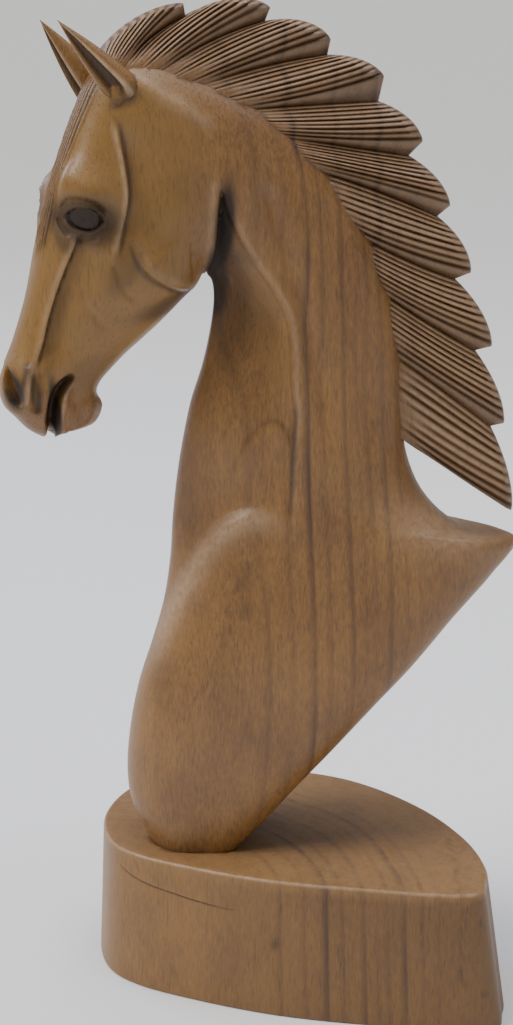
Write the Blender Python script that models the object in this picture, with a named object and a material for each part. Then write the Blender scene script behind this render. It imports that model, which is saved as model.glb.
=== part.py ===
"""A carved wooden horse head with a swept mane, standing on a plinth of the same log.

Metres, +Z up. The horse looks along -X, and its near side is at -Y. The origin is the middle of the
underside's box. The bust is a free form: its sections, mane and carving are given in hundredths of the
sculpture's height, and the plinth has sizes of its own. Head and neck are laid out flat in the plane
y = 0 first, and the head is then turned towards the near side.
"""

import bmesh
import bpy
import numpy as np

# Driving sizes
BUST_HEIGHT = 0.510
PLINTH_HEIGHT = 0.090
PLINTH_LENGTH = 0.2375
PLINTH_DEPTH = 0.179
PLINTH_FLARE = 0.014
PLINTH_EDGE = 0.003
HEAD_TURN = np.radians(17.0)

# Layout units: hundredths of the whole height, with the plinth's top at level 15
TOP_LEVEL = 100.0
FOOT_LEVEL = 15.0
UNIT = BUST_HEIGHT / (TOP_LEVEL - FOOT_LEVEL)

# How finely each form is divided: rings to each stretch of sections, and points on the near and far side
RING_DENSITY = np.array([(0.0, 1.0), (8.0, 1.3), (14.0, 1.3), (21.0, 1.35), (24.0, 2.9), (28.0, 2.7), (36.0, 2.7)])
NEAR_POINTS = 34
FAR_POINTS = 9
FINEST_STROKE = 0.7
MANE_STEPS = 5
EAR_RINGS = 9
EAR_POINTS = 12

# The section from which the brows count, so that they leave the chest alone
HEAD_SECTION = 23.0

# Where the head's turn starts and ends along x, and the levels over which it fades into the chest
TURN_START_X = 2.0
TURN_END_X = -12.0
TURN_FADE = (50.0, 60.0)

# The bust's sections, from inside the plinth up to the muzzle: front edge x, z; back edge x, z; half width; squareness front, back
SECTIONS = np.array([
    (-10.3, 12.9, -3.9, 12.9, 5.1, 2.2, 6.0),
    (-13.0, 18.4, 0.75, 17.9, 5.8, 2.2, 6.0),
    (-13.6, 22.4, 4.0, 21.8, 6.4, 2.2, 6.0),
    (-13.2, 27.2, 7.8, 26.1, 7.0, 2.2, 5.5),
    (-12.2, 32.2, 12.1, 30.9, 7.2, 2.2, 4.8),
    (-10.8, 36.6, 16.3, 35.4, 7.1, 2.2, 4.0),
    (-9.5, 41.2, 20.2, 40.0, 6.7, 2.2, 3.2),
    (-8.8, 45.8, 24.1, 44.4, 6.2, 2.2, 2.6),
    (-8.5, 50.0, 26.3, 47.8, 5.8, 2.2, 2.0),
    (-8.0, 54.6, 20.9, 48.9, 5.5, 2.2, 2.2),
    (-7.3, 58.6, 17.0, 52.3, 5.3, 2.2, 2.4),
    (-6.5, 62.2, 14.95, 57.0, 5.2, 2.2, 2.4),
    (-5.35, 65.8, 14.6, 61.8, 5.1, 2.2, 2.2),
    (-4.55, 69.4, 14.3, 66.8, 4.9, 2.2, 2.2),
    (-4.2, 72.2, 13.5, 71.8, 4.8, 2.2, 2.2),
    (-4.35, 74.0, 12.1, 76.6, 4.7, 2.2, 2.2),
    (-4.8, 74.7, 10.0, 80.8, 4.7, 2.2, 2.2),
    (-4.9, 75.0, 7.4, 84.6, 4.7, 2.2, 2.2),
    (-5.0, 75.1, 4.4, 88.0, 4.8, 2.2, 2.2),
    (-5.1, 75.1, 0.8, 91.0, 5.0, 2.2, 2.2),
    (-5.2, 74.9, -3.4, 93.2, 5.1, 2.3, 2.2),
    (-5.5, 74.8, -7.8, 94.8, 5.2, 2.4, 2.3),
    (-5.8, 74.2, -11.8, 95.6, 5.2, 2.5, 2.5),
    (-6.3, 73.5, -15.2, 94.5, 5.2, 2.6, 2.7),
    (-7.2, 72.8, -17.1, 90.9, 5.2, 2.7, 2.8),
    (-8.4, 71.7, -18.8, 86.8, 5.4, 2.7, 2.8),
    (-9.9, 70.3, -20.3, 82.5, 5.3, 2.6, 2.6),
    (-11.5, 68.9, -21.5, 78.2, 4.6, 2.5, 2.5),
    (-13.1, 67.55, -22.6, 73.4, 4.0, 2.4, 2.4),
    (-14.6, 66.1, -23.9, 69.4, 3.6, 2.4, 2.4),
    (-15.7, 64.9, -25.0, 66.7, 3.4, 2.4, 2.4),
    (-16.1, 63.8, -25.5, 64.8, 3.3, 2.4, 2.4),
    (-15.5, 62.4, -25.2, 63.0, 3.1, 2.4, 2.4),
    (-16.2, 60.8, -24.2, 61.8, 2.8, 2.4, 2.4),
    (-17.6, 60.2, -23.1, 60.6, 2.4, 2.4, 2.4),
    (-19.0, 60.1, -22.1, 59.9, 1.8, 2.3, 2.3),
    (-20.0, 59.6, -21.3, 59.5, 0.9, 2.0, 2.0),
])

# The mane's locks are bounded by eleven strands: root, middle and notch of each, as x, z
STRANDS = np.array([
    (-15.0, 95.0, -14.8, 95.8, -14.6, 96.4),
    (-13.6, 94.2, -10.5, 97.0, -6.7, 99.0),
    (-10.8, 93.4, -5.0, 96.6, 0.8, 98.6),
    (-7.6, 92.2, -0.2, 94.3, 6.7, 95.5),
    (-3.6, 90.4, 4.6, 90.9, 11.6, 91.2),
    (0.2, 88.4, 7.7, 87.3, 14.6, 86.1),
    (3.0, 85.6, 10.1, 83.7, 17.5, 80.3),
    (6.2, 80.8, 13.2, 77.3, 19.4, 74.2),
    (8.8, 75.6, 15.3, 71.3, 21.6, 67.1),
    (10.8, 68.8, 17.1, 64.3, 23.4, 59.4),
    (13.2, 59.4, 18.9, 55.2, 24.0, 52.0),
])
LOCK_TIPS = np.array([
    (-6.9, 100.2), (1.3, 99.8), (7.0, 96.9), (12.1, 93.5), (15.9, 87.4),
    (18.7, 81.3), (20.9, 74.8), (23.2, 67.5), (24.7, 59.7), (25.8, 50.7),
])
LOCK_SWELL = (0.8, 1.2, 0.95, 0.7, 0.75, 0.7, 0.75, 0.75, 0.65, 0.6)
GROOVES_PER_LOCK = 7
RIBS_PER_LOCK = 2 * GROOVES_PER_LOCK
LOCK_TIP_AT = 1.0 - 1.0 / RIBS_PER_LOCK
MANE_ROOT_HALF = 3.1
MANE_ROOT_THINNING = 1.2
MANE_EDGE_HALF = 1.7
MANE_RIM_HALF = 0.6
LOCK_VALLEY_DEPTH = 0.95
GROOVE_DEPTH = 0.3

# Each ear's root and tip, and the angle by which its hollow is turned towards the near side
NEAR_EAR = ((-12.7, -3.2, 92.4), (-19.4, -3.0, 98.9), 0.75)
FAR_EAR = ((-14.6, 2.2, 91.5), (-19.95, 2.6, 98.75), -0.6)
EAR_HALF_WIDTH = 1.75
EAR_HALF_THICK = 1.25

# The carving's lines in the flat layout, as x, z
JOWL = [(-3.9, 84.8), (-4.25, 83.0), (-4.4, 81.5), (-4.5, 78.6), (-4.8, 76.3), (-5.4, 74.9), (-6.6, 73.6)]
RIDGE = [(-3.9, 84.6), (-3.0, 81.4), (-2.2, 79.6), (-1.2, 77.8), (-0.1, 76.1), (1.5, 74.1), (2.7, 72.0),
         (3.3, 70.0), (3.5, 67.5), (3.6, 64.5), (3.8, 61.6), (3.5, 58.3), (3.4, 53.3), (3.3, 49.0)]
RIDGE_CREASE = [(3.7, 63.0), (3.8, 61.0), (3.6, 58.3), (3.4, 54.5), (3.3, 50.5)]
ARCH = [(3.4, 54.0), (3.3, 57.8), (2.8, 59.9), (1.8, 60.8), (0.4, 60.3), (-1.0, 58.9), (-1.9, 57.1), (-3.0, 54.6)]
SHOULDER = [(-12.4, 33.0), (-11.0, 36.6), (-9.8, 39.8), (-8.8, 41.9), (-7.2, 45.1), (-5.9, 47.5), (-4.5, 49.4),
            (-2.8, 50.9), (-1.2, 51.7), (0.8, 51.9), (3.2, 51.2)]
CHEEK = [(-13.6, 79.2), (-12.9, 77.1), (-12.1, 75.9), (-11.1, 75.2), (-8.6, 74.1), (-6.8, 73.7), (-5.4, 74.4)]
TEMPLE = [(-14.6, 90.2), (-14.2, 88.4), (-13.8, 85.9), (-13.6, 83.4), (-13.9, 81.3), (-14.5, 79.1), (-15.1, 77.4)]
BRIDGE = [(-17.9, 79.9), (-18.6, 78.5), (-20.0, 74.9), (-21.1, 71.4), (-21.7, 69.1), (-22.8, 66.5)]
MOUTH = [(-18.8, 66.4), (-19.4, 65.7), (-20.3, 64.6), (-20.8, 63.5), (-21.0, 62.2), (-21.0, 60.5), (-20.9, 57.5)]
NECK_FOLD = [(0.4, 84.2), (1.2, 82.4), (2.7, 77.7), (4.1, 72.9), (5.4, 68.1), (6.3, 63.5), (6.8, 57.0)]
CREST_FOLD = [(6.0, 83.0), (7.0, 79.5), (8.5, 73.8), (9.7, 67.9), (10.6, 62.1), (10.9, 56.0)]
POLL_RIDGE = [(-13.2, 94.6), (-12.2, 93.6), (-9.5, 91.8), (-7.0, 90.6), (-4.0, 88.8)]

# Steps: line, width of the wall, reach, rise of the line's left side, share over which the ends fade
STEPS = (
    (CHEEK, 0.7, 3.4, 0.8, 0.35),
    (TEMPLE, 0.7, 2.6, -0.75, 0.3),
    (BRIDGE, 0.7, 2.3, -0.75, 0.25),
    (SHOULDER, 1.3, 6.0, -0.95, 0.3),
    (ARCH, 0.7, 2.0, 0.28, 0.25),
)

# Channels, and raised edges where the depth is negative: line, width, depth, share over which the ends fade
CHANNELS = (
    (MOUTH, 0.9, 1.1, 0.3),
    (SHOULDER, 0.9, -0.3, 0.2),
    (RIDGE_CREASE, 0.7, 0.3, 0.2),
    (POLL_RIDGE, 0.7, -0.4, 0.35),
    (NECK_FOLD, 0.8, 0.42, 0.2),
    (CREST_FOLD, 0.9, 0.36, 0.2),
)

# Swellings, and hollows where the rise is negative: centre x, z; half sizes along and across; tilt; rise
MOUNDS = (
    # Jowl, brow and eye socket
    (-8.4, 79.8, 4.8, 5.4, 0.0, 0.85),
    (-17.4, 83.7, 3.0, 1.7, -12.0, 0.9),
    (-17.6, 80.9, 2.5, 1.5, -8.0, -1.0),
    # Cheekbone, nostril, the fold behind it, upper lip and chin
    (-15.4, 74.4, 1.6, 3.4, -38.0, 0.3),
    (-23.5, 65.6, 1.5, 2.2, 15.0, 0.6),
    (-22.5, 64.4, 0.7, 2.2, 8.0, -0.5),
    (-21.6, 63.0, 0.7, 2.2, 8.0, 0.35),
    (-16.9, 62.6, 1.0, 1.2, 0.0, 0.6),
    # Shoulder
    (-4.6, 43.0, 6.0, 9.0, 0.0, 0.4),
)

# The windpipe lies behind the jowl and before the neck's ridge: a crisp wall, then a slope that is deepest
# under the jowl, with the levels over which it grows and ends
THROAT_WALL = 0.5
THROAT_DEPTH = 2.3
THROAT_LEVELS = (50.0, 59.0, 57.0, 77.0, 82.7, 84.9)

# The brows: level, distance to the side, half sizes, and how far they stand forward of the forehead
BROW_LEVEL = 84.6
BROW_ASIDE = 3.8
BROW_HALF_HEIGHT = 1.8
BROW_HALF_WIDTH = 1.2
BROW_PUSH = 1.7

# The plinth's outline as shares of its length and depth, from the foot's middle, round from the near corner
OUTLINE = np.array([
    (0.945, -0.485), (1.000, -0.375), (1.005, -0.250), (0.970, -0.060), (0.880, 0.170), (0.740, 0.375),
    (0.590, 0.490), (0.390, 0.540), (0.190, 0.500), (0.060, 0.370), (0.000, 0.150), (0.020, -0.065),
    (0.100, -0.190), (0.260, -0.295), (0.440, -0.380), (0.640, -0.435),
])
OUTLINE_START_X = -16.4

WOOD_COLOUR = (0.235, 0.115, 0.046, 1.0)
WOOD_ROUGHNESS = 0.42


def smooth(share):
    """Rises from 0 to 1 with level ends as share goes from 0 to 1."""
    s = np.clip(share, 0.0, 1.0)
    return s * s * (3.0 - 2.0 * s)


def through(rows, at):
    """Catmull-Rom curve through the rows of an array, read at fractional row numbers."""
    rows = np.asarray(rows, float)
    i = np.clip(np.floor(at).astype(int), 0, len(rows) - 2)
    t = (np.asarray(at) - i)[:, None]
    p0 = rows[np.maximum(i - 1, 0)]
    p1 = rows[i]
    p2 = rows[i + 1]
    p3 = rows[np.minimum(i + 2, len(rows) - 1)]
    linear = p2 - p0
    square = 2.0 * p0 - 5.0 * p1 + 4.0 * p2 - p3
    cube = 3.0 * (p1 - p2) + p3 - p0
    return p1 + 0.5 * t * (linear + t * (square + t * cube))


def line_distance(x, z, points):
    """Distance to the curve through points, positive on its left, and the share of its length passed."""
    line = through(points, np.linspace(0.0, len(points) - 1.0, 6 * len(points)))
    start = line[:-1]
    run = np.diff(line, axis=0)
    rel_x = x[:, None] - start[:, 0]
    rel_z = z[:, None] - start[:, 1]
    along = np.clip((rel_x * run[:, 0] + rel_z * run[:, 1]) / (run ** 2).sum(1), 0.0, 1.0)
    distance = np.hypot(rel_x - along * run[:, 0], rel_z - along * run[:, 1])
    best = distance.argmin(1)
    row = np.arange(len(x))
    side = np.sign(run[best, 0] * rel_z[row, best] - run[best, 1] * rel_x[row, best])
    return distance[row, best] * side, (best + along[row, best]) / len(run)


def ends(share, fade):
    """1 along a stroke, falling to 0 at both of its ends."""
    return smooth(share / fade) * smooth((1.0 - share) / fade)


def channel(x, z, points, width, depth, fade):
    """A gouged channel along a line, which narrows and fades towards its ends."""
    distance, share = line_distance(x, z, points)
    taper = ends(share, fade)
    wide = np.maximum(width * (0.4 + 0.6 * taper), FINEST_STROKE)
    return -depth * np.exp(-(distance / wide) ** 2) * taper


def step_up(x, z, points, soft, reach, rise, fade):
    """A step up on the left of a line, which dies away within reach and narrows towards its ends."""
    distance, share = line_distance(x, z, points)
    taper = ends(share, fade)
    beyond = np.exp(-(np.maximum(distance, 0.0) / (reach * (0.25 + 0.75 * taper))) ** 2)
    return rise * smooth(distance / soft + 0.5) * beyond * taper


def mound(x, z, middle_x, middle_z, half_x, half_z, tilt, rise):
    """A rounded swelling, or a hollow where rise is negative."""
    c, s = np.cos(np.radians(tilt)), np.sin(np.radians(tilt))
    u = ((x - middle_x) * c + (z - middle_z) * s) / half_x
    v = ((z - middle_z) * c - (x - middle_x) * s) / half_z
    return rise * np.exp(-(u * u + v * v))


def throat(x, z):
    """The recess of the windpipe between jowl and neck ridge, as a negative relief."""
    behind_jowl, _ = line_distance(x, z, JOWL)
    before_ridge = -line_distance(x, z, RIDGE)[0]
    foot, full, deepening, deepest, closing, closed = THROAT_LEVELS
    slope = THROAT_DEPTH * smooth((z - deepening) / (deepest - deepening))
    recess = THROAT_WALL * smooth(before_ridge / FINEST_STROKE) + slope * smooth(before_ridge / 3.0)
    fade = smooth((z - foot) / (full - foot)) * smooth((closed - z) / (closed - closing))
    return -recess * smooth(behind_jowl / FINEST_STROKE) * fade


def carving(x, z):
    """How far the carved side stands out from the plain section, from the flat layout's x and z."""
    relief = throat(x, z)
    for stroke in STEPS:
        relief += step_up(x, z, *stroke)
    for stroke in CHANNELS:
        relief += channel(x, z, *stroke)
    for form in MOUNDS:
        relief += mound(x, z, *form)
    return relief


def turn_head(points):
    """Bends the layout about an upright axis, so that the head faces towards the near side."""
    x, y, z = points.T
    arc = TURN_START_X - TURN_END_X
    radius = arc / HEAD_TURN
    ahead = TURN_START_X - x
    angle = np.clip(ahead / radius, 0.0, HEAD_TURN)
    beyond = np.maximum(ahead - arc, 0.0)
    turned_x = TURN_START_X - (radius + y) * np.sin(angle) - beyond * np.cos(HEAD_TURN)
    turned_y = (radius + y) * np.cos(angle) - radius - beyond * np.sin(HEAD_TURN)
    weight = smooth((z - TURN_FADE[0]) / (TURN_FADE[1] - TURN_FADE[0])) * (ahead > 0.0)
    return np.stack([x + weight * (turned_x - x), y + weight * (turned_y - y), z], 1)


def ring_places():
    """Fractional section numbers, close together where there are many rings to a section."""
    fine = np.linspace(0.0, len(SECTIONS) - 1.0, 2000)
    density = np.interp(fine, RING_DENSITY[:, 0], RING_DENSITY[:, 1])
    counted = np.concatenate([[0.0], np.cumsum(density[1:] * np.diff(fine))])
    return np.interp(np.linspace(0.0, counted[-1], round(counted[-1]) + 1), counted, fine)


def body_surface():
    """Rings of the head, neck and bust: a loft of superellipses between the front and back edges."""
    at = ring_places()
    front_x, front_z, back_x, back_z, half, front_power, back_power = through(SECTIONS, at).T[:, :, None]
    near = np.linspace(0.0, np.pi, NEAR_POINTS, endpoint=False)
    far = np.linspace(np.pi, 2.0 * np.pi, FAR_POINTS, endpoint=False)
    angle = np.concatenate([near, far])[None, :]
    power = np.where(np.cos(angle) < 0.0, front_power, back_power)
    along = np.sign(np.cos(angle)) * np.abs(np.cos(angle)) ** (2.0 / power)
    out = np.abs(np.sin(angle)) ** (2.0 / power)
    x = 0.5 * ((front_x + back_x) + along * (back_x - front_x))
    z = 0.5 * ((front_z + back_z) + along * (back_z - front_z))
    relief = carving(x.ravel(), z.ravel()).reshape(x.shape)
    y = -np.sign(np.sin(angle)) * (half * out + relief * smooth(1.4 * out) * np.minimum(1.0, half / 3.0))
    length = np.hypot(back_x - front_x, back_z - front_z)
    aside = (np.abs(y) - BROW_ASIDE) / BROW_HALF_WIDTH
    brow = BROW_PUSH * np.exp(-aside ** 2 - ((z - BROW_LEVEL) / BROW_HALF_HEIGHT) ** 2)
    forward = brow * smooth((along - 0.2) / 0.5) * smooth(at[:, None] - HEAD_SECTION)
    x = x + forward * (back_x - front_x) / length
    z = z + forward * (back_z - front_z) / length
    return np.stack([x, y, z], 2)


def mane_surface():
    """Ribs of the mane: strands from the neck to the scalloped edge, each rib a closed thin section."""
    locks = len(LOCK_TIPS)
    at = np.linspace(0.0, locks, locks * RIBS_PER_LOCK + 1)
    root_x, root_z, mid_x, mid_z, _, _ = through(STRANDS, at).T
    lock = np.minimum(at.astype(int), locks - 1)
    inside = at - lock
    notch = STRANDS[:, 4:6]
    rising = np.minimum(inside / LOCK_TIP_AT, 1.0)[:, None]
    swell = np.array(LOCK_SWELL)[lock][:, None] * (4.0 * rising ** 1.25 * (1.0 - rising ** 1.25)) ** 0.8
    chord = LOCK_TIPS[lock] - notch[lock]
    outward = np.stack([-chord[:, 1], chord[:, 0]], 1) / np.hypot(*chord.T)[:, None]
    falling = np.clip((inside - LOCK_TIP_AT) / (1.0 - LOCK_TIP_AT), 0.0, 1.0)[:, None]
    edge = notch[lock] + rising * chord + swell * outward + falling * (notch[lock + 1] - LOCK_TIPS[lock])
    b = np.linspace(0.0, 1.0, MANE_STEPS)[None, :]
    plain = notch[lock] + inside[:, None] * (notch[lock + 1] - notch[lock])
    bend_x = 2.0 * mid_x - 0.5 * (root_x + plain[:, 0])
    bend_z = 2.0 * mid_z - 0.5 * (root_z + plain[:, 1])
    x = ((1 - b) ** 2).T * root_x + (2 * b * (1 - b)).T * bend_x + (b ** 2).T * edge[:, 0]
    z = ((1 - b) ** 2).T * root_z + (2 * b * (1 - b)).T * bend_z + (b ** 2).T * edge[:, 1]
    ridge = np.sin(np.pi * inside) ** 0.6
    teeth = 0.5 + 0.5 * np.cos(2.0 * np.pi * GROOVES_PER_LOCK * inside)
    carved = LOCK_VALLEY_DEPTH * (ridge - 1.0) - GROOVE_DEPTH * teeth * ridge
    root_half = MANE_ROOT_HALF - MANE_ROOT_THINNING * smooth((at - 7.0) / 3.0)
    half = root_half + (MANE_EDGE_HALF - root_half) * (b ** 0.8).T + smooth(b / 0.5).T * carved
    half = np.where(b.T > 0.999, MANE_RIM_HALF, np.maximum(half, MANE_RIM_HALF))
    near = np.stack([x, -half, z], 2)
    far = np.stack([x, half, z], 2)[::-1]
    return np.concatenate([near, far], 0).transpose(1, 0, 2)


def ear_surface(ear):
    """Rings of an ear: a rounded root, a pointed tip, and a gouged hollow along one side."""
    root, tip = np.array(ear[0]), np.array(ear[1])
    axis = tip - root
    length = np.linalg.norm(axis)
    axis /= length
    down = np.array([-axis[2], 0.0, axis[0]])
    down /= np.linalg.norm(down)
    across = np.cross(axis, down)
    share = np.linspace(0.0, 1.0, EAR_RINGS)[:, None] ** 1.2
    foot = np.sqrt(np.clip(1.0 - (1.0 - share / 0.16).clip(0.0, 1.0) ** 2, 0.0, 1.0))
    leaf = np.maximum((1.0 - share ** 1.6) * foot, 0.05)
    angle = np.linspace(0.0, 2.0 * np.pi, EAR_POINTS, endpoint=False)[None, :] + ear[2]
    gouge = 0.6 * np.exp(-((1.0 - np.cos(angle - ear[2])) / 0.2) ** 2)
    gouge = gouge * smooth((share - 0.05) / 0.2) * smooth((1.0 - share) / 0.2)
    u = EAR_HALF_WIDTH * leaf * (np.cos(angle) - gouge * np.cos(ear[2]))
    v = EAR_HALF_THICK * leaf * (np.sin(angle) - gouge * np.sin(ear[2]))
    return root + axis * (share * length)[..., None] + down * u[..., None] + across * v[..., None]


def plinth_outline():
    """The plinth's top outline as x, y in metres: round ends, a bulging far side and one blunt corner."""
    closed = np.vstack([OUTLINE[-1:], OUTLINE, OUTLINE[:2]])
    points = through(closed, np.linspace(1.0, len(OUTLINE) + 1.0, 3 * len(OUTLINE), endpoint=False))
    x = OUTLINE_START_X * UNIT + points[:, 0] * PLINTH_LENGTH
    y = points[:, 1] * PLINTH_DEPTH
    return np.stack([x, y], 1)


def flared(outline):
    """The underside's outline: the top's, drawn away from the bust's foot, most at the far end."""
    middle = np.array([0.5 * (SECTIONS[0, 0] + SECTIONS[0, 2]) * UNIT, 0.0])
    outward = outline - middle
    return outline + outward * (PLINTH_FLARE / np.hypot(*outward.T).max())


def to_metres(layout):
    """Layout units to metres: the layout's foot level becomes the plinth's top."""
    flat = turn_head(layout.reshape(-1, 3))
    flat[:, 2] -= FOOT_LEVEL
    flat *= UNIT
    flat[:, 2] += PLINTH_HEIGHT
    return flat.reshape(layout.shape)


def loft(name, rings, shift, collection):
    """A closed mesh over rings of points, with its first and last ring capped."""
    count, around = rings.shape[:2]
    row = np.arange(count - 1)[:, None] * around
    column = np.arange(around)[None, :]
    following = (column + 1) % around
    quads = np.stack([row + column, row + following, row + around + following, row + around + column], 2)
    faces = [tuple(q) for q in quads.reshape(-1, 4).tolist()]
    faces.append(tuple(range(around - 1, -1, -1)))
    faces.append(tuple(range((count - 1) * around, count * around)))
    mesh = bpy.data.meshes.new(name)
    mesh.from_pydata((rings.reshape(-1, 3) + shift).tolist(), [], faces)
    bm = bmesh.new()
    bm.from_mesh(mesh)
    bmesh.ops.recalc_face_normals(bm, faces=bm.faces)
    bmesh.ops.triangulate(bm, faces=[f for f in bm.faces if len(f.verts) > 4])
    bm.to_mesh(mesh)
    bm.free()
    made = bpy.data.objects.new(name, mesh)
    collection.objects.link(made)
    return made


def make_plinth(shift, collection):
    """The plinth: its outline drawn up from a flared underside, with its edges worn round."""
    outline = plinth_outline()
    foot = flared(outline)
    bm = bmesh.new()
    lower = [bm.verts.new((x + shift[0], y + shift[1], 0.0)) for x, y in foot.tolist()]
    upper = [bm.verts.new((x + shift[0], y + shift[1], PLINTH_HEIGHT)) for x, y in outline.tolist()]
    bm.faces.new(lower[::-1])
    bm.faces.new(upper)
    for i in range(len(lower)):
        j = (i + 1) % len(lower)
        bm.faces.new((lower[i], lower[j], upper[j], upper[i]))
    bmesh.ops.recalc_face_normals(bm, faces=bm.faces)
    rims = [e for e in bm.edges if abs(e.verts[0].co.z - e.verts[1].co.z) < 1e-6]
    bmesh.ops.bevel(bm, geom=rims, offset=PLINTH_EDGE, segments=2, profile=0.5, affect="EDGES")
    mesh = bpy.data.meshes.new("plinth_block")
    bm.to_mesh(mesh)
    bm.free()
    made = bpy.data.objects.new("plinth_block", mesh)
    collection.objects.link(made)
    return made


def join_to(body, other):
    """Joins a form to the body for good; the form itself stays as a hidden guide."""
    other.hide_render = True
    other.display_type = "WIRE"
    union = body.modifiers.new("join " + other.name, "BOOLEAN")
    union.operation = "UNION"
    union.solver = "EXACT"
    union.object = other


def make_wood():
    """Varnished hardwood, warm brown with a satin shine."""
    wood = bpy.data.materials.new("varnished_wood")
    wood.use_nodes = True
    shader = wood.node_tree.nodes["Principled BSDF"]
    shader.inputs["Base Color"].default_value = WOOD_COLOUR
    shader.inputs["Roughness"].default_value = WOOD_ROUGHNESS
    shader.inputs["Metallic"].default_value = 0.0
    return wood


def main():
    """Builds the sculpture as one closed body."""
    for old in list(bpy.data.objects):
        bpy.data.objects.remove(old, do_unlink=True)
    parts = bpy.data.collections.new("horse_head")
    guides = bpy.data.collections.new("guides")
    bpy.context.scene.collection.children.link(parts)
    bpy.context.scene.collection.children.link(guides)

    body = to_metres(body_surface())
    mane = to_metres(mane_surface())
    ears = [to_metres(ear_surface(ear)) for ear in (NEAR_EAR, FAR_EAR)]
    everything = np.vstack([body.reshape(-1, 3)[:, :2], mane.reshape(-1, 3)[:, :2], flared(plinth_outline())])
    middle = 0.5 * (everything.min(0) + everything.max(0))
    shift = np.array([-middle[0], -middle[1], 0.0])

    head = loft("horse_head_on_plinth", body, shift, parts)
    head.data.materials.append(make_wood())
    join_to(head, loft("mane_form", mane, shift, guides))
    for name, ear in zip(("near_ear_form", "far_ear_form"), ears):
        join_to(head, loft(name, ear, shift, guides))
    join_to(head, make_plinth(shift, guides))
    head.data.shade_smooth()


main()
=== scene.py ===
# %% [markdown]
# A carved wooden horse head
#
# The real object is cut from one upright piece of a log: head, swept mane, neck, a bust that narrows to a
# foot, and a lopsided plinth. Tool marks, a satin varnish and the log's own growth rings are all its
# ornament. The fixed frame gives its size and place, and this script gives its surface.

# %% The frame and the tools
from functools import partial

import bmesh
import bpy
import numpy as np
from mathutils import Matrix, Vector
from mathutils.kdtree import KDTree


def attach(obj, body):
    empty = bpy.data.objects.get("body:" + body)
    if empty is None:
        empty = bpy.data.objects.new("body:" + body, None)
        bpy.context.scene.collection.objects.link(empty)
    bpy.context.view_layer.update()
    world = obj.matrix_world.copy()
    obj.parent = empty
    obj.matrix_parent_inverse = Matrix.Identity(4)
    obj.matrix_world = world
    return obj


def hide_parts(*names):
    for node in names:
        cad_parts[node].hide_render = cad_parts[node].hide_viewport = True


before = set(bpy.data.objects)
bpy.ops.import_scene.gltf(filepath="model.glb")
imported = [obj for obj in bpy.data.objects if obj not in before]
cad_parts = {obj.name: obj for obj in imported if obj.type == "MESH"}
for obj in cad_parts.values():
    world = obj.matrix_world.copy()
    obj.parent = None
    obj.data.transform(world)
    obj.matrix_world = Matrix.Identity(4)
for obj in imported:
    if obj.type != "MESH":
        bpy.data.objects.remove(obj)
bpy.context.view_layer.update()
NODE = "horse_head_on_plinth"

# %% [markdown]
# Sizes come first. The layout is drawn flat, side on, in hundredths of the sculpture's height, as a carver
# would draw it on the plank, and one function turns it into metres. The same numbers shaped the plain
# solid, so the finished surface lies where that solid does.

# %% Driving sizes
BUST_HEIGHT = 0.510
PLINTH_HEIGHT = 0.090
PLINTH_LENGTH = 0.2375
PLINTH_DEPTH = 0.179
PLINTH_FLARE = 0.014
PLINTH_EDGE = 0.0022
HEAD_TURN = np.radians(17.0)
TOP_LEVEL = 100.0
FOOT_LEVEL = 15.0
UNIT = BUST_HEIGHT / (TOP_LEVEL - FOOT_LEVEL)
# The neck bends between these two x, and the bend grows from nothing to full between these two levels
TURN_START_X = 2.0
TURN_END_X = -12.0
TURN_FADE = (50.0, 60.0)
print("one layout unit in mm", round(1000.0 * UNIT, 2))

# %% [markdown]
# The camera stands where the photographer stood: about 1.1 m away, as high as the ears, and looking down.
# A head seen from so near shows the plinth's top and the mane's top edge at once.

# %% Camera
PHOTO_HEIGHT = 1025
FOCAL_PIXELS = 1888.0
SENSOR_MM = 36.0
CAMERA_DISTANCE = 1.10
CAMERA_LEVEL = 0.63
CAMERA_PITCH_DEG = 16.6
print("lens in mm", round(SENSOR_MM * FOCAL_PIXELS / PHOTO_HEIGHT, 1))


def add_object(name, data):
    """An object with the data, linked into the scene."""
    made = bpy.data.objects.new(name, data)
    bpy.context.scene.collection.objects.link(made)
    return made


def add_camera(shift):
    """Puts the camera on the near side, looking along +Y and down by its pitch."""
    data = bpy.data.cameras.new("camera")
    data.sensor_fit = "AUTO"
    data.sensor_width = SENSOR_MM
    data.lens = SENSOR_MM * FOCAL_PIXELS / PHOTO_HEIGHT
    camera = add_object("camera", data)
    camera.location = (shift[0], shift[1] - CAMERA_DISTANCE, CAMERA_LEVEL)
    camera.rotation_euler = (np.radians(90.0 - CAMERA_PITCH_DEG), 0.0, 0.0)
    bpy.context.scene.camera = camera


# %% [markdown]
# Free forms need smooth lines through a few chosen points, and carving needs to know how far each point of
# the surface lies from a drawn line. These helpers work on whole arrays at once.

# %% Curves and carving strokes
def smooth(share):
    """3s^2 - 2s^3: rises from 0 to 1 with level ends."""
    s = np.clip(share, 0.0, 1.0)
    return s * s * (3.0 - 2.0 * s)


def through(rows, at):
    """Catmull-Rom curve through the rows, read at fractional row numbers."""
    rows = np.asarray(rows, float)
    i = np.clip(np.floor(at).astype(int), 0, len(rows) - 2)
    t = (np.asarray(at) - i)[:, None]
    p0 = rows[np.maximum(i - 1, 0)]
    p1 = rows[i]
    p2 = rows[i + 1]
    p3 = rows[np.minimum(i + 2, len(rows) - 1)]
    square = 2.0 * p0 - 5.0 * p1 + 4.0 * p2 - p3
    cube = 3.0 * (p1 - p2) + p3 - p0
    return p1 + 0.5 * t * (p2 - p0 + t * (square + t * cube))


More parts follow.
